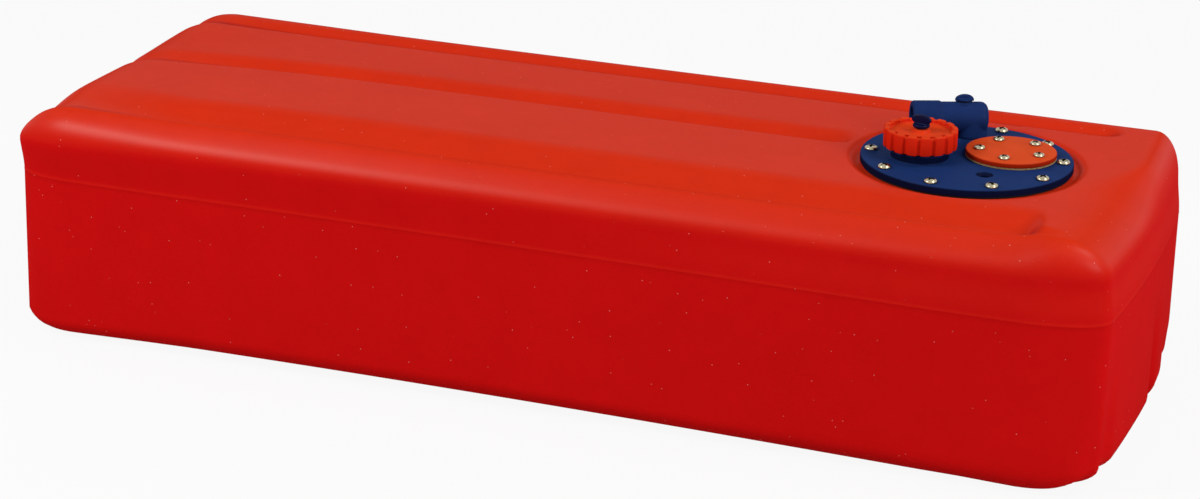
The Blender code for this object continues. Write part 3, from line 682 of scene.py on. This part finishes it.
def mixed(nodes, links, share, first, second):
    """Two colours mixed by a share; each is a colour, or the output that gives it."""
    made = nodes.new("ShaderNodeMix")
    made.data_type = "RGBA"
    links.new(share, made.inputs["Factor"])
    for side, colour in (("A", first), ("B", second)):
        if isinstance(colour, tuple):
            made.inputs[side].default_value = (*colour, 1)
        else:
            links.new(colour, made.inputs[side])
    return made.outputs["Result"]


def uneven_gloss(nodes, links, shader, source, least, most):
    """A roughness that follows a noise between two values."""
    gloss = nodes.new("ShaderNodeMapRange")
    gloss.inputs["To Min"].default_value = least
    gloss.inputs["To Max"].default_value = most
    links.new(source, gloss.inputs["Value"])
    links.new(gloss.outputs["Result"], shader.inputs["Roughness"])


def ramp(nodes, links, source, stops):
    """A colour ramp of (position, colour) stops."""
    made = nodes.new("ShaderNodeValToRGB")
    stripe = made.color_ramp
    while len(stripe.elements) < len(stops):
        stripe.elements.new(0.5)
    for element, (position, colour) in zip(stripe.elements, stops):
        element.position = position
        element.color = (*colour, 1)
    links.new(source, made.inputs["Fac"])
    return made


def grained(nodes, links, shader, roughness, grain, grain_height):
    """An uneven gloss and a fine grain."""
    fine = object_noise(nodes, links, grain, 3.0, 0.6)
    uneven_gloss(nodes, links, shader, fine.outputs["Fac"], roughness - 0.05, roughness + 0.05)
    bump = nodes.new("ShaderNodeBump")
    bump.inputs["Strength"].default_value = 1.0
    bump.inputs["Distance"].default_value = grain_height
    links.new(fine.outputs["Fac"], bump.inputs["Height"])
    links.new(bump.outputs["Normal"], shader.inputs["Normal"])
    links.new(bump.outputs["Normal"], shader.inputs["Coat Normal"])


def moulded_plastic(name, colour, roughness, grain, grain_height, mottle=0.06, skin=0.05,
                    wall=None):
    """Moulded plastic: a faint mottle in its colour, an uneven gloss and a fine grain.
    With a wall colour, only the faces that look up have the first one, and the others the wall
    colour: painted light and shade."""
    made, nodes, links, shader = new_finish(name)
    cloud = object_noise(nodes, links, 60.0, 5.0)
    dark = tuple(c * (1 - mottle) for c in colour)
    light = tuple(min(1.0, c * (1 + mottle)) for c in colour)
    tint = ramp(nodes, links, cloud.outputs["Fac"], ((0.35, dark), (0.65, light)))
    shown = tint.outputs["Color"]
    # Painted light and shade: a second colour for the faces that do not look up
    if wall:
        shown = mixed(nodes, links, noted(nodes, "upward"), wall, shown)
    links.new(shown, shader.inputs["Base Color"])
    grained(nodes, links, shader, roughness, grain, grain_height)
    shader.inputs["Specular IOR Level"].default_value = 0.0
    shader.inputs["Coat Weight"].default_value = skin
    shader.inputs["Coat Roughness"].default_value = roughness * 0.8
    return made


def tank_plastic(name, wall, deck, speck):
    """The tank's red: paler on faces that look up as a painted sheen, mottled, with a fine grain
    and pale specks, with painted shade in the beds of the flutes, and glossier along the
    shoulders."""
    made, nodes, links, shader = new_finish(name)
    facing_up = noted(nodes, "upward")
    share = nodes.new("ShaderNodeMapRange")
    share.inputs["From Min"].default_value = 0.0
    share.inputs["From Max"].default_value = 0.95
    links.new(facing_up, share.inputs["Value"])
    # Painted sheen: faces that look up get the paler deck colour in place of the wall red
    body = mixed(nodes, links, share.outputs["Result"], wall, deck)
    cloud = object_noise(nodes, links, 14.0, 9.0, 0.8)
    shade = ramp(nodes, links, cloud.outputs["Fac"],
                 ((0.38, (0.94, 0.90, 0.90)), (0.62, (1.0, 1.0, 1.0))))
    mottled = nodes.new("ShaderNodeMix")
    mottled.data_type = "RGBA"
    mottled.blend_type = "MULTIPLY"
    mottled.inputs["Factor"].default_value = 1.0
    links.new(body, mottled.inputs["A"])
    links.new(shade.outputs["Color"], mottled.inputs["B"])
    dots = ramp(nodes, links, object_cells(nodes, links, 95.0),
                ((0.025, (0.6, 0.6, 0.6)), (0.05, (0, 0, 0))))
    specked = mixed(nodes, links, dots.outputs["Color"], mottled.outputs["Result"], speck)
    # Painted shade along the beds of the flutes: a darker copy of the wall red where the mesh
    # marks a bed
    bed_shade = tuple(c * 0.55 for c in wall)
    bed_shaded = mixed(nodes, links, noted(nodes, "hollow"), specked, bed_shade)
    links.new(bed_shaded, shader.inputs["Base Color"])
    grained(nodes, links, shader, 0.42, 900.0, 0.00006)
    shader.inputs["Specular IOR Level"].default_value = 0.0
    weights = ((0.0, 0.03), (0.30, 0.08), (0.62, 0.30), (0.80, 0.20), (0.93, 0.05), (1.0, 0.15))
    sheen = ramp(nodes, links, facing_up,
                 [(place, (weight, weight, weight)) for place, weight in weights])
    links.new(sheen.outputs["Color"], shader.inputs["Coat Weight"])
    shader.inputs["Coat Roughness"].default_value = 0.36
    return made


def polished_metal(name, colour, roughness, scale):
    """Turned metal, with fine tool marks, a little tarnish, and painted shade down in its
    recesses.
    """
    made, nodes, links, shader = new_finish(name)
    marks = object_noise(nodes, links, scale, 4.0, 0.6)
    dull = tuple(c * 0.72 for c in colour)
    tint = ramp(nodes, links, marks.outputs["Fac"], ((0.30, dull), (0.70, colour)))
    # Painted shade: near black down in the recesses that the mesh marks as sunk
    recess_shade = (0.012, 0.010, 0.008)
    recess_shaded = mixed(nodes, links, noted(nodes, "sunk"), tint.outputs["Color"], recess_shade)
    links.new(recess_shaded, shader.inputs["Base Color"])
    uneven_gloss(nodes, links, shader, marks.outputs["Fac"], roughness * 0.7, roughness * 1.3)
    shader.inputs["Metallic"].default_value = 1.0
    return made


def granular_cork(name):
    """Cork of small grains, darker where they meet."""
    made, nodes, links, shader = new_finish(name)
    grains = object_cells(nodes, links, 900.0)
    tint = ramp(nodes, links, grains, ((0.1, (0.46, 0.30, 0.13)), (0.8, (0.20, 0.11, 0.04))))
    links.new(tint.outputs["Color"], shader.inputs["Base Color"])
    bump = nodes.new("ShaderNodeBump")
    bump.inputs["Distance"].default_value = 0.0002
    links.new(grains, bump.inputs["Height"])
    links.new(bump.outputs["Normal"], shader.inputs["Normal"])
    shader.inputs["Roughness"].default_value = 0.85
    return made


# The wall colour is the tank's red; the deck colour is that red with a painted sheen
tank_red = tank_plastic("tank_red", wall=(0.60, 0.0045, 0.0050), deck=(0.60, 0.028, 0.0070),
                        speck=(0.80, 0.42, 0.38))
fitting_navy = moulded_plastic("fitting_navy", (0.0095, 0.026, 0.112), 0.42, 1500.0, 0.00003)
# Flange: the navy on faces that look up, and a darker copy on its walls as painted shade
flange_navy = moulded_plastic("flange_navy", (0.0100, 0.030, 0.125), 0.42, 1500.0, 0.00003,
                              wall=(0.003, 0.006, 0.030))
thumb_navy = moulded_plastic("thumb_navy", (0.004, 0.005, 0.036), 0.30, 1500.0, 0.00002,
                             skin=0.15)
# Cap: a paler orange on top as a painted sheen, a deeper red on the sides of the lobes
cap_orange = moulded_plastic("cap_orange", (0.64, 0.048, 0.010), 0.36, 1500.0, 0.00002, 0.04,
                             wall=(0.68, 0.018, 0.005))
# Plate: a darker orange on its edge as painted shade
plate_orange = moulded_plastic("plate_orange", (0.62, 0.066, 0.014), 0.34, 1500.0, 0.00002, 0.04,
                               wall=(0.36, 0.016, 0.003))
seal_black = moulded_plastic("seal_black", (0.018, 0.018, 0.018), 0.70, 1200.0, 0.00004)
tube_natural = moulded_plastic("tube_natural", (0.72, 0.71, 0.66), 0.50, 1000.0, 0.00003)
screw_nickel = polished_metal("screw_nickel", (0.46, 0.41, 0.28), 0.22, 700.0)
insert_brass = polished_metal("insert_brass", (0.72, 0.50, 0.18), 0.30, 700.0)
ring_aluminium = polished_metal("ring_aluminium", (0.72, 0.72, 0.74), 0.38, 500.0)
gasket_cork = granular_cork("gasket_cork")

node_finish = {
    "flange_gasket": seal_black,
    "sender_gasket": gasket_cork,
    "sender_backing_ring": ring_aluminium,
    "cap_seal": seal_black,
    "cap_liner": tube_natural,
    "cap_vent_seal": seal_black,
    "bleed_seal": seal_black,
    "outlet_seal": seal_black,
    "outlet_nut": fitting_navy,
    "suction_tube": tube_natural,
    "suction_strainer": tube_natural,
}


# Fittings

def make_flange():
    """The flange plate, its neck with the thread, and its ports."""
    rim = flange_edge_round
    bottom = flange_top - flange_thickness
    section = [(0.0, flange_top)]
    section += arc((flange_radius - rim, flange_top - rim), rim, 90, 0, 6)
    section += [(flange_radius, bottom), (0.0, bottom)]
    plate = turned_mesh("flange_disc", section, round_steps, at(flange_centre))
    foot, lip = neck_foot_round, neck_top_round
    root = bottom + 0.002
    neck = turned_mesh("neck", [(0.0, neck_top)]
                       + arc((neck_radius - lip, neck_top - lip), lip, 90, 0, 3)
                       + arc((neck_radius + foot, flange_top + foot), foot, 180, 270, 5)
                       + [(neck_radius + foot, root), (0.0, root)],
                       thread_steps, at(cap_centre))
    below, above = bottom - 0.01, neck_top + 0.01
    bore = rod_mesh("bore", neck_bore_radius, below, above, 96, at(cap_centre))
    sender = rod_mesh("sender", sender_bore_radius, below, above, 48, at(sender_centre))
    spigot = rod_mesh("spigot", spigot_bore_radius, below, above, 48, at(outlet_centre))
    deck_frame = at(flange_centre, deck_set_turn)
    dimple = [(0.0, 0.01), (0.0085, 0.01), (0.0078, 0.0)]
    dimple += arc((0.0062, 0.0), 0.0012, 0, -90, 4)
    dimple += [(0.0042, -0.0020), (0.0040, -0.0048), (0.0, -0.0048)]
    dimple = [(radius, flange_top + height) for radius, height in dimple]
    port = turned_mesh("port", dimple, 48, deck_frame @ Matrix.Translation(port_place))
    mesh = combined("flange_body", plate, [neck], [bore, sender, spigot, port])
    add_thread(mesh)

    def painted_light_share(vert):
        """Painted light: pale on the crest of the thread and on top; painted shade between the
        thread's turns, on walls and down in the port.
        """
        away = (vert.co.xy - cap_centre.xy).length
        if away < neck_reach and vert.co.z > flange_top + 0.0015:
            return 1.0 if away > neck_radius + thread_crest / 2 else 0.15
        if vert.co.z < flange_top - 0.0008:
            return 0.0
        return soft_step(vert.normal.z * 1.2 - 0.2)

    note(mesh, "upward", painted_light_share)
    show("flange_with_neck", mesh, flange_navy, "navy_nylon", "tank", "flange_plate",
         sharp=math.radians(30))


def add_thread(mesh):
    """A helical thread, wound round the neck."""
    bm = bmesh.new()
    low, high = flange_top + 0.0040, neck_top - 0.0020
    turns = (high - low) / thread_pitch
    steps = round(turns * thread_steps)
    root = neck_radius - 0.0003
    tooth = [(root, -thread_foot_half), (neck_radius + thread_crest, -thread_crest_half),
             (neck_radius + thread_crest, thread_crest_half), (root, thread_foot_half)]
    points = [bm.verts.new((radius, 0, low + height)) for radius, height in tooth]
    edges = [bm.edges.new(pair) for pair in zip(points, points[1:] + points[:1])]
    bm.faces.new(points)
    bmesh.ops.spin(bm, geom=points + edges, cent=(0, 0, 0), axis=(0, 0, 1),
                   dvec=(0, 0, (high - low) / steps), angle=math.tau * turns, steps=steps)
    open_end = [edge for edge in bm.edges if edge.is_boundary]
    bmesh.ops.contextual_create(bm, geom=open_end)
    bmesh.ops.recalc_face_normals(bm, faces=bm.faces)
    bmesh.ops.transform(bm, matrix=at(cap_centre), verts=bm.verts)
    bm.from_mesh(mesh)
    bm.to_mesh(mesh)
    bm.free()


def make_cap():
    """The cap: a disc with a low boss, inside a rim whose lobes are parted by narrow grooves."""
    rim_inner, outer, soft = cap_rim_inner, cap_outer, cap_soft
    foot, top = cap_low.z, cap_high.z
    ceiling = liner_top + seat_gap
    disc = ceiling + cap_disc_thickness
    boss_top = vent_seal_low.z - seat_gap
    hole = vent_hole_radius
    section = [(hole, ceiling), (hole, boss_top), (0.0068, boss_top), (0.0074, boss_top - 0.0004),
               (0.0084, disc + 0.0006), (0.0094, disc), (rim_inner - soft, disc)]
    section += arc((rim_inner - soft, disc + soft), soft, -90, 0, 3)
    section += arc((rim_inner + soft, top - soft), soft, 180, 90, 3)
    section += arc((outer - soft * 1.4, top - soft * 1.4), soft * 1.4, 90, 0, 4)
    section += [(outer, (top + foot) / 2)]
    section += arc((outer - soft / 2, foot + soft / 2), soft / 2, 0, -90, 2)
    section += [(cap_skirt_inner, foot), (cap_skirt_inner, ceiling)]
    bm = bmesh.new()
    turned(bm, section, cap_lobes * steps_per_lobe)
    for vert in bm.verts:
        flat = vert.co.xy
        if flat.length < rim_inner + soft * 0.8:
            continue
        phase = (math.atan2(flat.y, flat.x) * cap_lobes / math.tau) % 1.0
        groove = 1.0 - soft_step((abs(phase - 0.5) - groove_half_width) / groove_bank)
        if flat.length > 0.0275:
            vert.co.xy = flat * (1.0 - groove * groove_depth / outer)
        if vert.co.z > top - soft * 2:
            vert.co.z -= groove * notch_depth
    bmesh.ops.recalc_face_normals(bm, faces=bm.faces)
    bmesh.ops.transform(bm, matrix=at(cap_centre), verts=bm.verts)
    mesh = mesh_from(bm, "cap_with_lobes")
    # Painted sheen: faces that look up get the cap's paler orange
    note(mesh, "upward", lambda vert: max(0.0, vert.normal.z))
    show("cap_with_lobes", mesh, cap_orange, "orange_nylon",
         "cap", "filler_cap", sharp=math.radians(50))


def make_blank():
    """The blanking plate, a disc with a soft edge."""
    low, top = plate_low.z, plate_high.z
    radius = (plate_high.x - plate_low.x) / 2
    rim = plate_edge_round
    section = [(0.0, top)] + arc((radius - rim, top - rim), rim, 90, 0, 5)
    section += arc((radius - rim / 3, low + rim / 3), rim / 3, 0, -90, 2) + [(0.0, low)]
    mesh = turned_mesh("blank_disc", section, 128, at(sender_centre))
    # Painted shade: the plate's edge gets the darker wall orange
    note(mesh, "upward", lambda vert: soft_step(vert.normal.z * 1.2 - 0.2))
    show("blank_disc", mesh, plate_orange, "orange_nylon", "tank", "sender_blank_plate")


def screw_mesh(name, centre, head_radius, head_height, base, length, turn):
    """A pan head with a cross recess, and its shank."""
    dome_share = 1.0 - head_rim_share
    section = [(0.0, head_height)]
    for angle in (18, 36, 54, 72, 90):
        lean = math.radians(angle)
        section.append((head_radius * math.sin(lean),
                        head_height * (head_rim_share + dome_share * math.cos(lean))))
    section += [(head_radius, head_height * 0.08), (head_radius * 0.97, 0.0),
                (shank_radius, 0.0), (shank_radius, -length), (0.0, -length)]
    place = at((centre.x, centre.y, base), turn)
    head = turned_mesh(name, section, 36, place)
    slots = []
    for quarter in (0, 1):
        bar = place @ Matrix.Rotation(math.radians(90 * quarter), 4, "Z")
        bar = bar @ Matrix.Translation((0, 0, head_height))
        size = (head_radius * recess_length_share, head_radius * recess_width_share,
                head_height * recess_depth_share)
        slots.append(bar_mesh(f"{name}_slot_{quarter}", size, bar))
    heart = rod_mesh(name + "_heart", head_radius * recess_heart_share, head_height * 0.30,
                     head_height * 1.5, 12, place)
    mesh = combined(name, head, [], slots + [heart])

    def depth_share(vert):
        """How far a vertex lies below the dome of the head, as a share of its height."""
        away = math.hypot(vert.co.x - centre.x, vert.co.y - centre.y) / head_radius
        if away > 0.7 or vert.co.z < base:
            return 0.0
        dome = base + head_height * (head_rim_share + dome_share * math.sqrt(1.0 - away ** 2))
        return clamp((dome - vert.co.z) / (head_height * recess_shade_depth_share), 0.0, 1.0)

    # How deep each vertex lies in the recess, for the painted shade in the metal
    note(mesh, "sunk", depth_share)
    return mesh


def make_screws():
    """The screws of the flange and of the blanking plate, each turned another way."""
    rows = [(f"flange_screw_{n:02d}", "pan_screw") for n in range(1, 11)]
    rows += [(f"sender_screw_{n}", "plate_screw") for n in range(1, 6)]
    for number, (node, label) in enumerate(rows):
        low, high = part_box(node)
        radius = (high.x - low.x) / 2
        base = (flange_top if label == "pan_screw" else plate_high.z) + seat_gap
        name = f"{label}_{number:02d}"
        mesh = screw_mesh(name, middle_of(node), radius, high.z - base, base, base - low.z,
                          math.radians(37 * number))
        show(name, mesh, screw_nickel, "stainless_steel", "tank", node, sharp=math.radians(30))


def make_elbow():
    """The elbow: a stem as wide as its barrel, a collar at the open end and a boss on top."""
    frame_here = at(outlet_centre, deck_set_turn)
    axis_height = flange_top + elbow_axis_height
    foot = flange_top + seat_gap
    stem = rod_mesh("stem", barrel_radius, foot, axis_height, 64, frame_here)
    end, mouth = barrel_end_round, collar_mouth_round
    closed = barrel_radius - barrel_end_inset
    step = elbow_collar_length - barrel_length
    section = [(0.0, closed)]
    section += arc((barrel_radius - end, closed - end), end, 90, 0, 8)
    section += [(barrel_radius, step + 0.001), (elbow_collar_radius, step)]
    section += arc((elbow_collar_radius - mouth, mouth - barrel_length), mouth, 0, -90, 4)
    section += [(0.0, -barrel_length)]
    along = frame_here @ Matrix.Translation((0, 0, axis_height))
    along = along @ Matrix.Rotation(math.radians(90), 4, "Y")
    barrel = turned_mesh("barrel", section, 64, along)
    boss = rod_mesh("boss", bleed_boss_radius, axis_height,
                    axis_height + barrel_radius + bleed_boss_height, 48,
                    frame_here @ Matrix.Translation((-bleed_offset, 0, 0)))
    floor, past = socket_depth - barrel_length, -barrel_length - 0.01
    way = turned_mesh("way", [(0.0, 0.0), (waterway_radius, 0.0), (waterway_radius, floor),
                              (socket_radius, floor), (socket_radius, past), (0.0, past)],
                      48, along)
    mesh = combined("elbow_soft", stem, [barrel, boss], [way], voxel=0.0006, softening=6)
    show("elbow_body", mesh, fitting_navy, "navy_nylon", "tank", "outlet_elbow",
         sharp=math.radians(60))
    mesh = rod_mesh("elbow_spigot", spigot_radius, flange_top - spigot_reach, foot + 0.001, 48,
                    frame_here)
    spigot = object_from("elbow_spigot", mesh)
    mesh.materials.append(fitting_navy)
    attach(spigot, "tank")


def thumb_mesh(name, centre, turn, base, top, collar_radius, collar_height, shank_radius, low,
               tab_width, tab_thickness, half=False):
    """A round collar and shank with an upright tab, oval or the upper half of a round one."""
    place = at((centre.x, centre.y, 0), turn)
    section = [(0.0, base + collar_height)]
    soft = thumb_edge_round
    section += arc((collar_radius - soft, base + collar_height - soft), soft, 90, 0, 3)
    section += [(collar_radius, base), (shank_radius, base), (shank_radius, low), (0.0, low)]
    collar = turned_mesh("collar", section, 64, place)
    tab_height = (top - base) * 1.9 if half else top - base - collar_height * 0.7
    bm = bmesh.new()
    upright = place @ Matrix.Translation((0, 0, top - tab_height / 2))
    upright = upright @ Matrix.Diagonal((tab_width / tab_height, 1, 1, 1))
    upright = upright @ Matrix.Rotation(math.radians(90), 4, "X")
    bmesh.ops.create_cone(bm, cap_ends=True, segments=64, radius1=tab_height / 2,
                          radius2=tab_height / 2, depth=tab_thickness, matrix=upright)
    rims = [e for e in bm.edges if any(len(f.verts) > 4 for f in e.link_faces)]
    bmesh.ops.bevel(bm, geom=rims, offset=tab_thickness * 0.35, offset_type="OFFSET",
                    segments=4, profile=0.5, affect="EDGES", material=-1)
    for vert in bm.verts:
        beside = half and math.hypot(vert.co.x - centre.x, vert.co.y - centre.y) > 0.0054
        vert.co.z = max(vert.co.z, base - 0.0008 if beside else base + seat_gap)
    tab = mesh_from(bm, "tab")
    return combined(name, collar, [tab], voxel=0.00035, softening=4)


def make_thumb_screws():
    """The vent's thumb screw in the cap, and the bleed's in the elbow."""
    mesh = thumb_mesh("vent_thumb", cap_centre, math.radians(-8), vent_seal_high.z + seat_gap,
                      vent_high.z, collar_radius=0.0073, collar_height=0.0024,
                      shank_radius=0.003, low=vent_low.z, tab_width=0.0180, tab_thickness=0.0030)
    show("vent_thumb", mesh, thumb_navy, "dark_navy_nylon", "vent_thumb_screw", "cap_vent_screw",
         sharp=math.radians(60))
    mesh = thumb_mesh("bleed_thumb", bleed_centre, deck_set_turn, bleed_seal_top + seat_gap,
                      bleed_high.z - bleed_tab_drop, collar_radius=0.0062, collar_height=0.0016,
                      shank_radius=0.0026, low=bleed_low.z, tab_width=0.0166,
                      tab_thickness=0.0034, half=True)
    show("bleed_thumb", mesh, fitting_navy, "navy_nylon", "bleed_thumb_screw", "bleed_screw",
         sharp=math.radians(60))


def finish_nodes():
    """Gives a finish to the nodes that are shown as they are."""
    for name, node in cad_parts.items():
        finish = node_finish.get(name)
        if finish is None and name.startswith("thread_insert"):
            finish = insert_brass
        if finish is not None:
            node.data.materials.clear()
            node.data.materials.append(finish)


# Studio

def seen_directly(nodes, links):
    """One for rays from the camera and for those mirrored or let through on their way to it."""
    path = nodes.new("ShaderNodeLightPath")
    last = path.outputs["Is Camera Ray"]
    for kind in ("Is Glossy Ray", "Is Transmission Ray"):
        either = nodes.new("ShaderNodeMath")
        either.operation = "MAXIMUM"
        links.new(last, either.inputs[0])
        links.new(path.outputs[kind], either.inputs[1])
        last = either.outputs[0]
    return last


def make_stage():
    """White paper under the part, which glows for the camera and not for the light."""
    bm = bmesh.new()
    bmesh.ops.create_grid(bm, x_segments=1, y_segments=1, size=12.0)
    floor = object_from("floor", mesh_from(bm, "floor"))
    paper = bpy.data.materials.new("white_paper")
    paper.use_nodes = True
    nodes, links = paper.node_tree.nodes, paper.node_tree.links
    shader = nodes["Principled BSDF"]
    shader.inputs["Base Color"].default_value = (paper_grey, paper_grey, paper_grey, 1)
    shader.inputs["Roughness"].default_value = 0.9
    glow = nodes.new("ShaderNodeEmission")
    share = nodes.new("ShaderNodeMath")
    share.operation = "MULTIPLY"
    share.inputs[1].default_value = paper_glow
    links.new(seen_directly(nodes, links), share.inputs[0])
    mix = nodes.new("ShaderNodeMixShader")
    links.new(share.outputs[0], mix.inputs["Fac"])
    links.new(shader.outputs["BSDF"], mix.inputs[1])
    links.new(glow.outputs["Emission"], mix.inputs[2])
    links.new(mix.outputs["Shader"], nodes["Material Output"].inputs["Surface"])
    floor.data.materials.append(paper)


def make_world():
    """A faint fill from all round, behind which the camera sees plain white."""
    world = bpy.data.worlds.new("studio")
    bpy.context.scene.world = world
    world.use_nodes = True
    nodes, links = world.node_tree.nodes, world.node_tree.links
    fill = nodes["Background"]
    fill.inputs["Color"].default_value = (0.93, 0.95, 1.0, 1)
    fill.inputs["Strength"].default_value = fill_strength
    white = nodes.new("ShaderNodeBackground")
    white.inputs["Strength"].default_value = 1.0
    white.inputs["Color"].default_value = (1, 1, 1, 1)
    mix = nodes.new("ShaderNodeMixShader")
    links.new(seen_directly(nodes, links), mix.inputs["Fac"])
    links.new(fill.outputs["Background"], mix.inputs[1])
    links.new(white.outputs["Background"], mix.inputs[2])
    links.new(mix.outputs["Shader"], nodes["World Output"].inputs["Surface"])


def make_lamp(name, place, target, size, power, colour=(1, 1, 1)):
    """A soft lamp that faces its target."""
    data = bpy.data.lights.new(name, "AREA")
    data.shape = "RECTANGLE"
    data.size, data.size_y = size
    data.energy = power
    data.color = colour
    lamp = bpy.data.objects.new(name, data)
    bpy.context.scene.collection.objects.link(lamp)
    lamp.location = place
    lamp.rotation_euler = (Vector(target) - Vector(place)).to_track_quat("-Z", "Y").to_euler()


def make_camera():
    """The camera as it was fitted to the photo."""
    yaw, pitch, roll = math.radians(19.14), math.radians(19.70), math.radians(1.53)
    focal_pixels, image_width = 3294.0, 1200.0
    data = bpy.data.cameras.new("camera")
    data.sensor_width = 36.0
    data.lens = focal_pixels * data.sensor_width / image_width
    data.clip_end = 50.0
    camera = bpy.data.objects.new("camera", data)
    bpy.context.scene.collection.objects.link(camera)
    turn = Matrix.Rotation(yaw, 4, "Z") @ Matrix.Rotation(math.radians(90) - pitch, 4, "X")
    turn = turn @ Matrix.Rotation(roll, 4, "Z")
    camera.matrix_world = Matrix.Translation((0.9175, -2.6313, 1.0938)) @ turn
    bpy.context.scene.camera = camera


make_camera()
make_world()
make_stage()
make_lamp("key", (-1.6, -2.2, 2.2), (0, 0, 0.1), (1.1, 1.1), 22.0, warm)
make_lamp("left", (-1.3, -1.2, 1.6), (-0.3, 0, 0.1), (0.7, 0.7), 20.0, warm)
make_lamp("right_top", (1.7, 0.15, 2.35), (0.4, 0, 0.1), (0.8, 0.8), 22.0, warm)
make_lamp("side", (2.4, -1.0, 1.2), (0.4, 0, 0.1), (0.9, 0.9), 26.0)
show("tank_skin", mesh_from(tank_skin(), "tank_skin"), tank_red, "red_polyethylene", "tank",
     "tank_shell", sharp=math.radians(60))
make_flange()
make_cap()
make_blank()
make_screws()
make_elbow()
make_thumb_screws()
finish_nodes()
bpy.context.scene.view_settings.view_transform = "Standard"
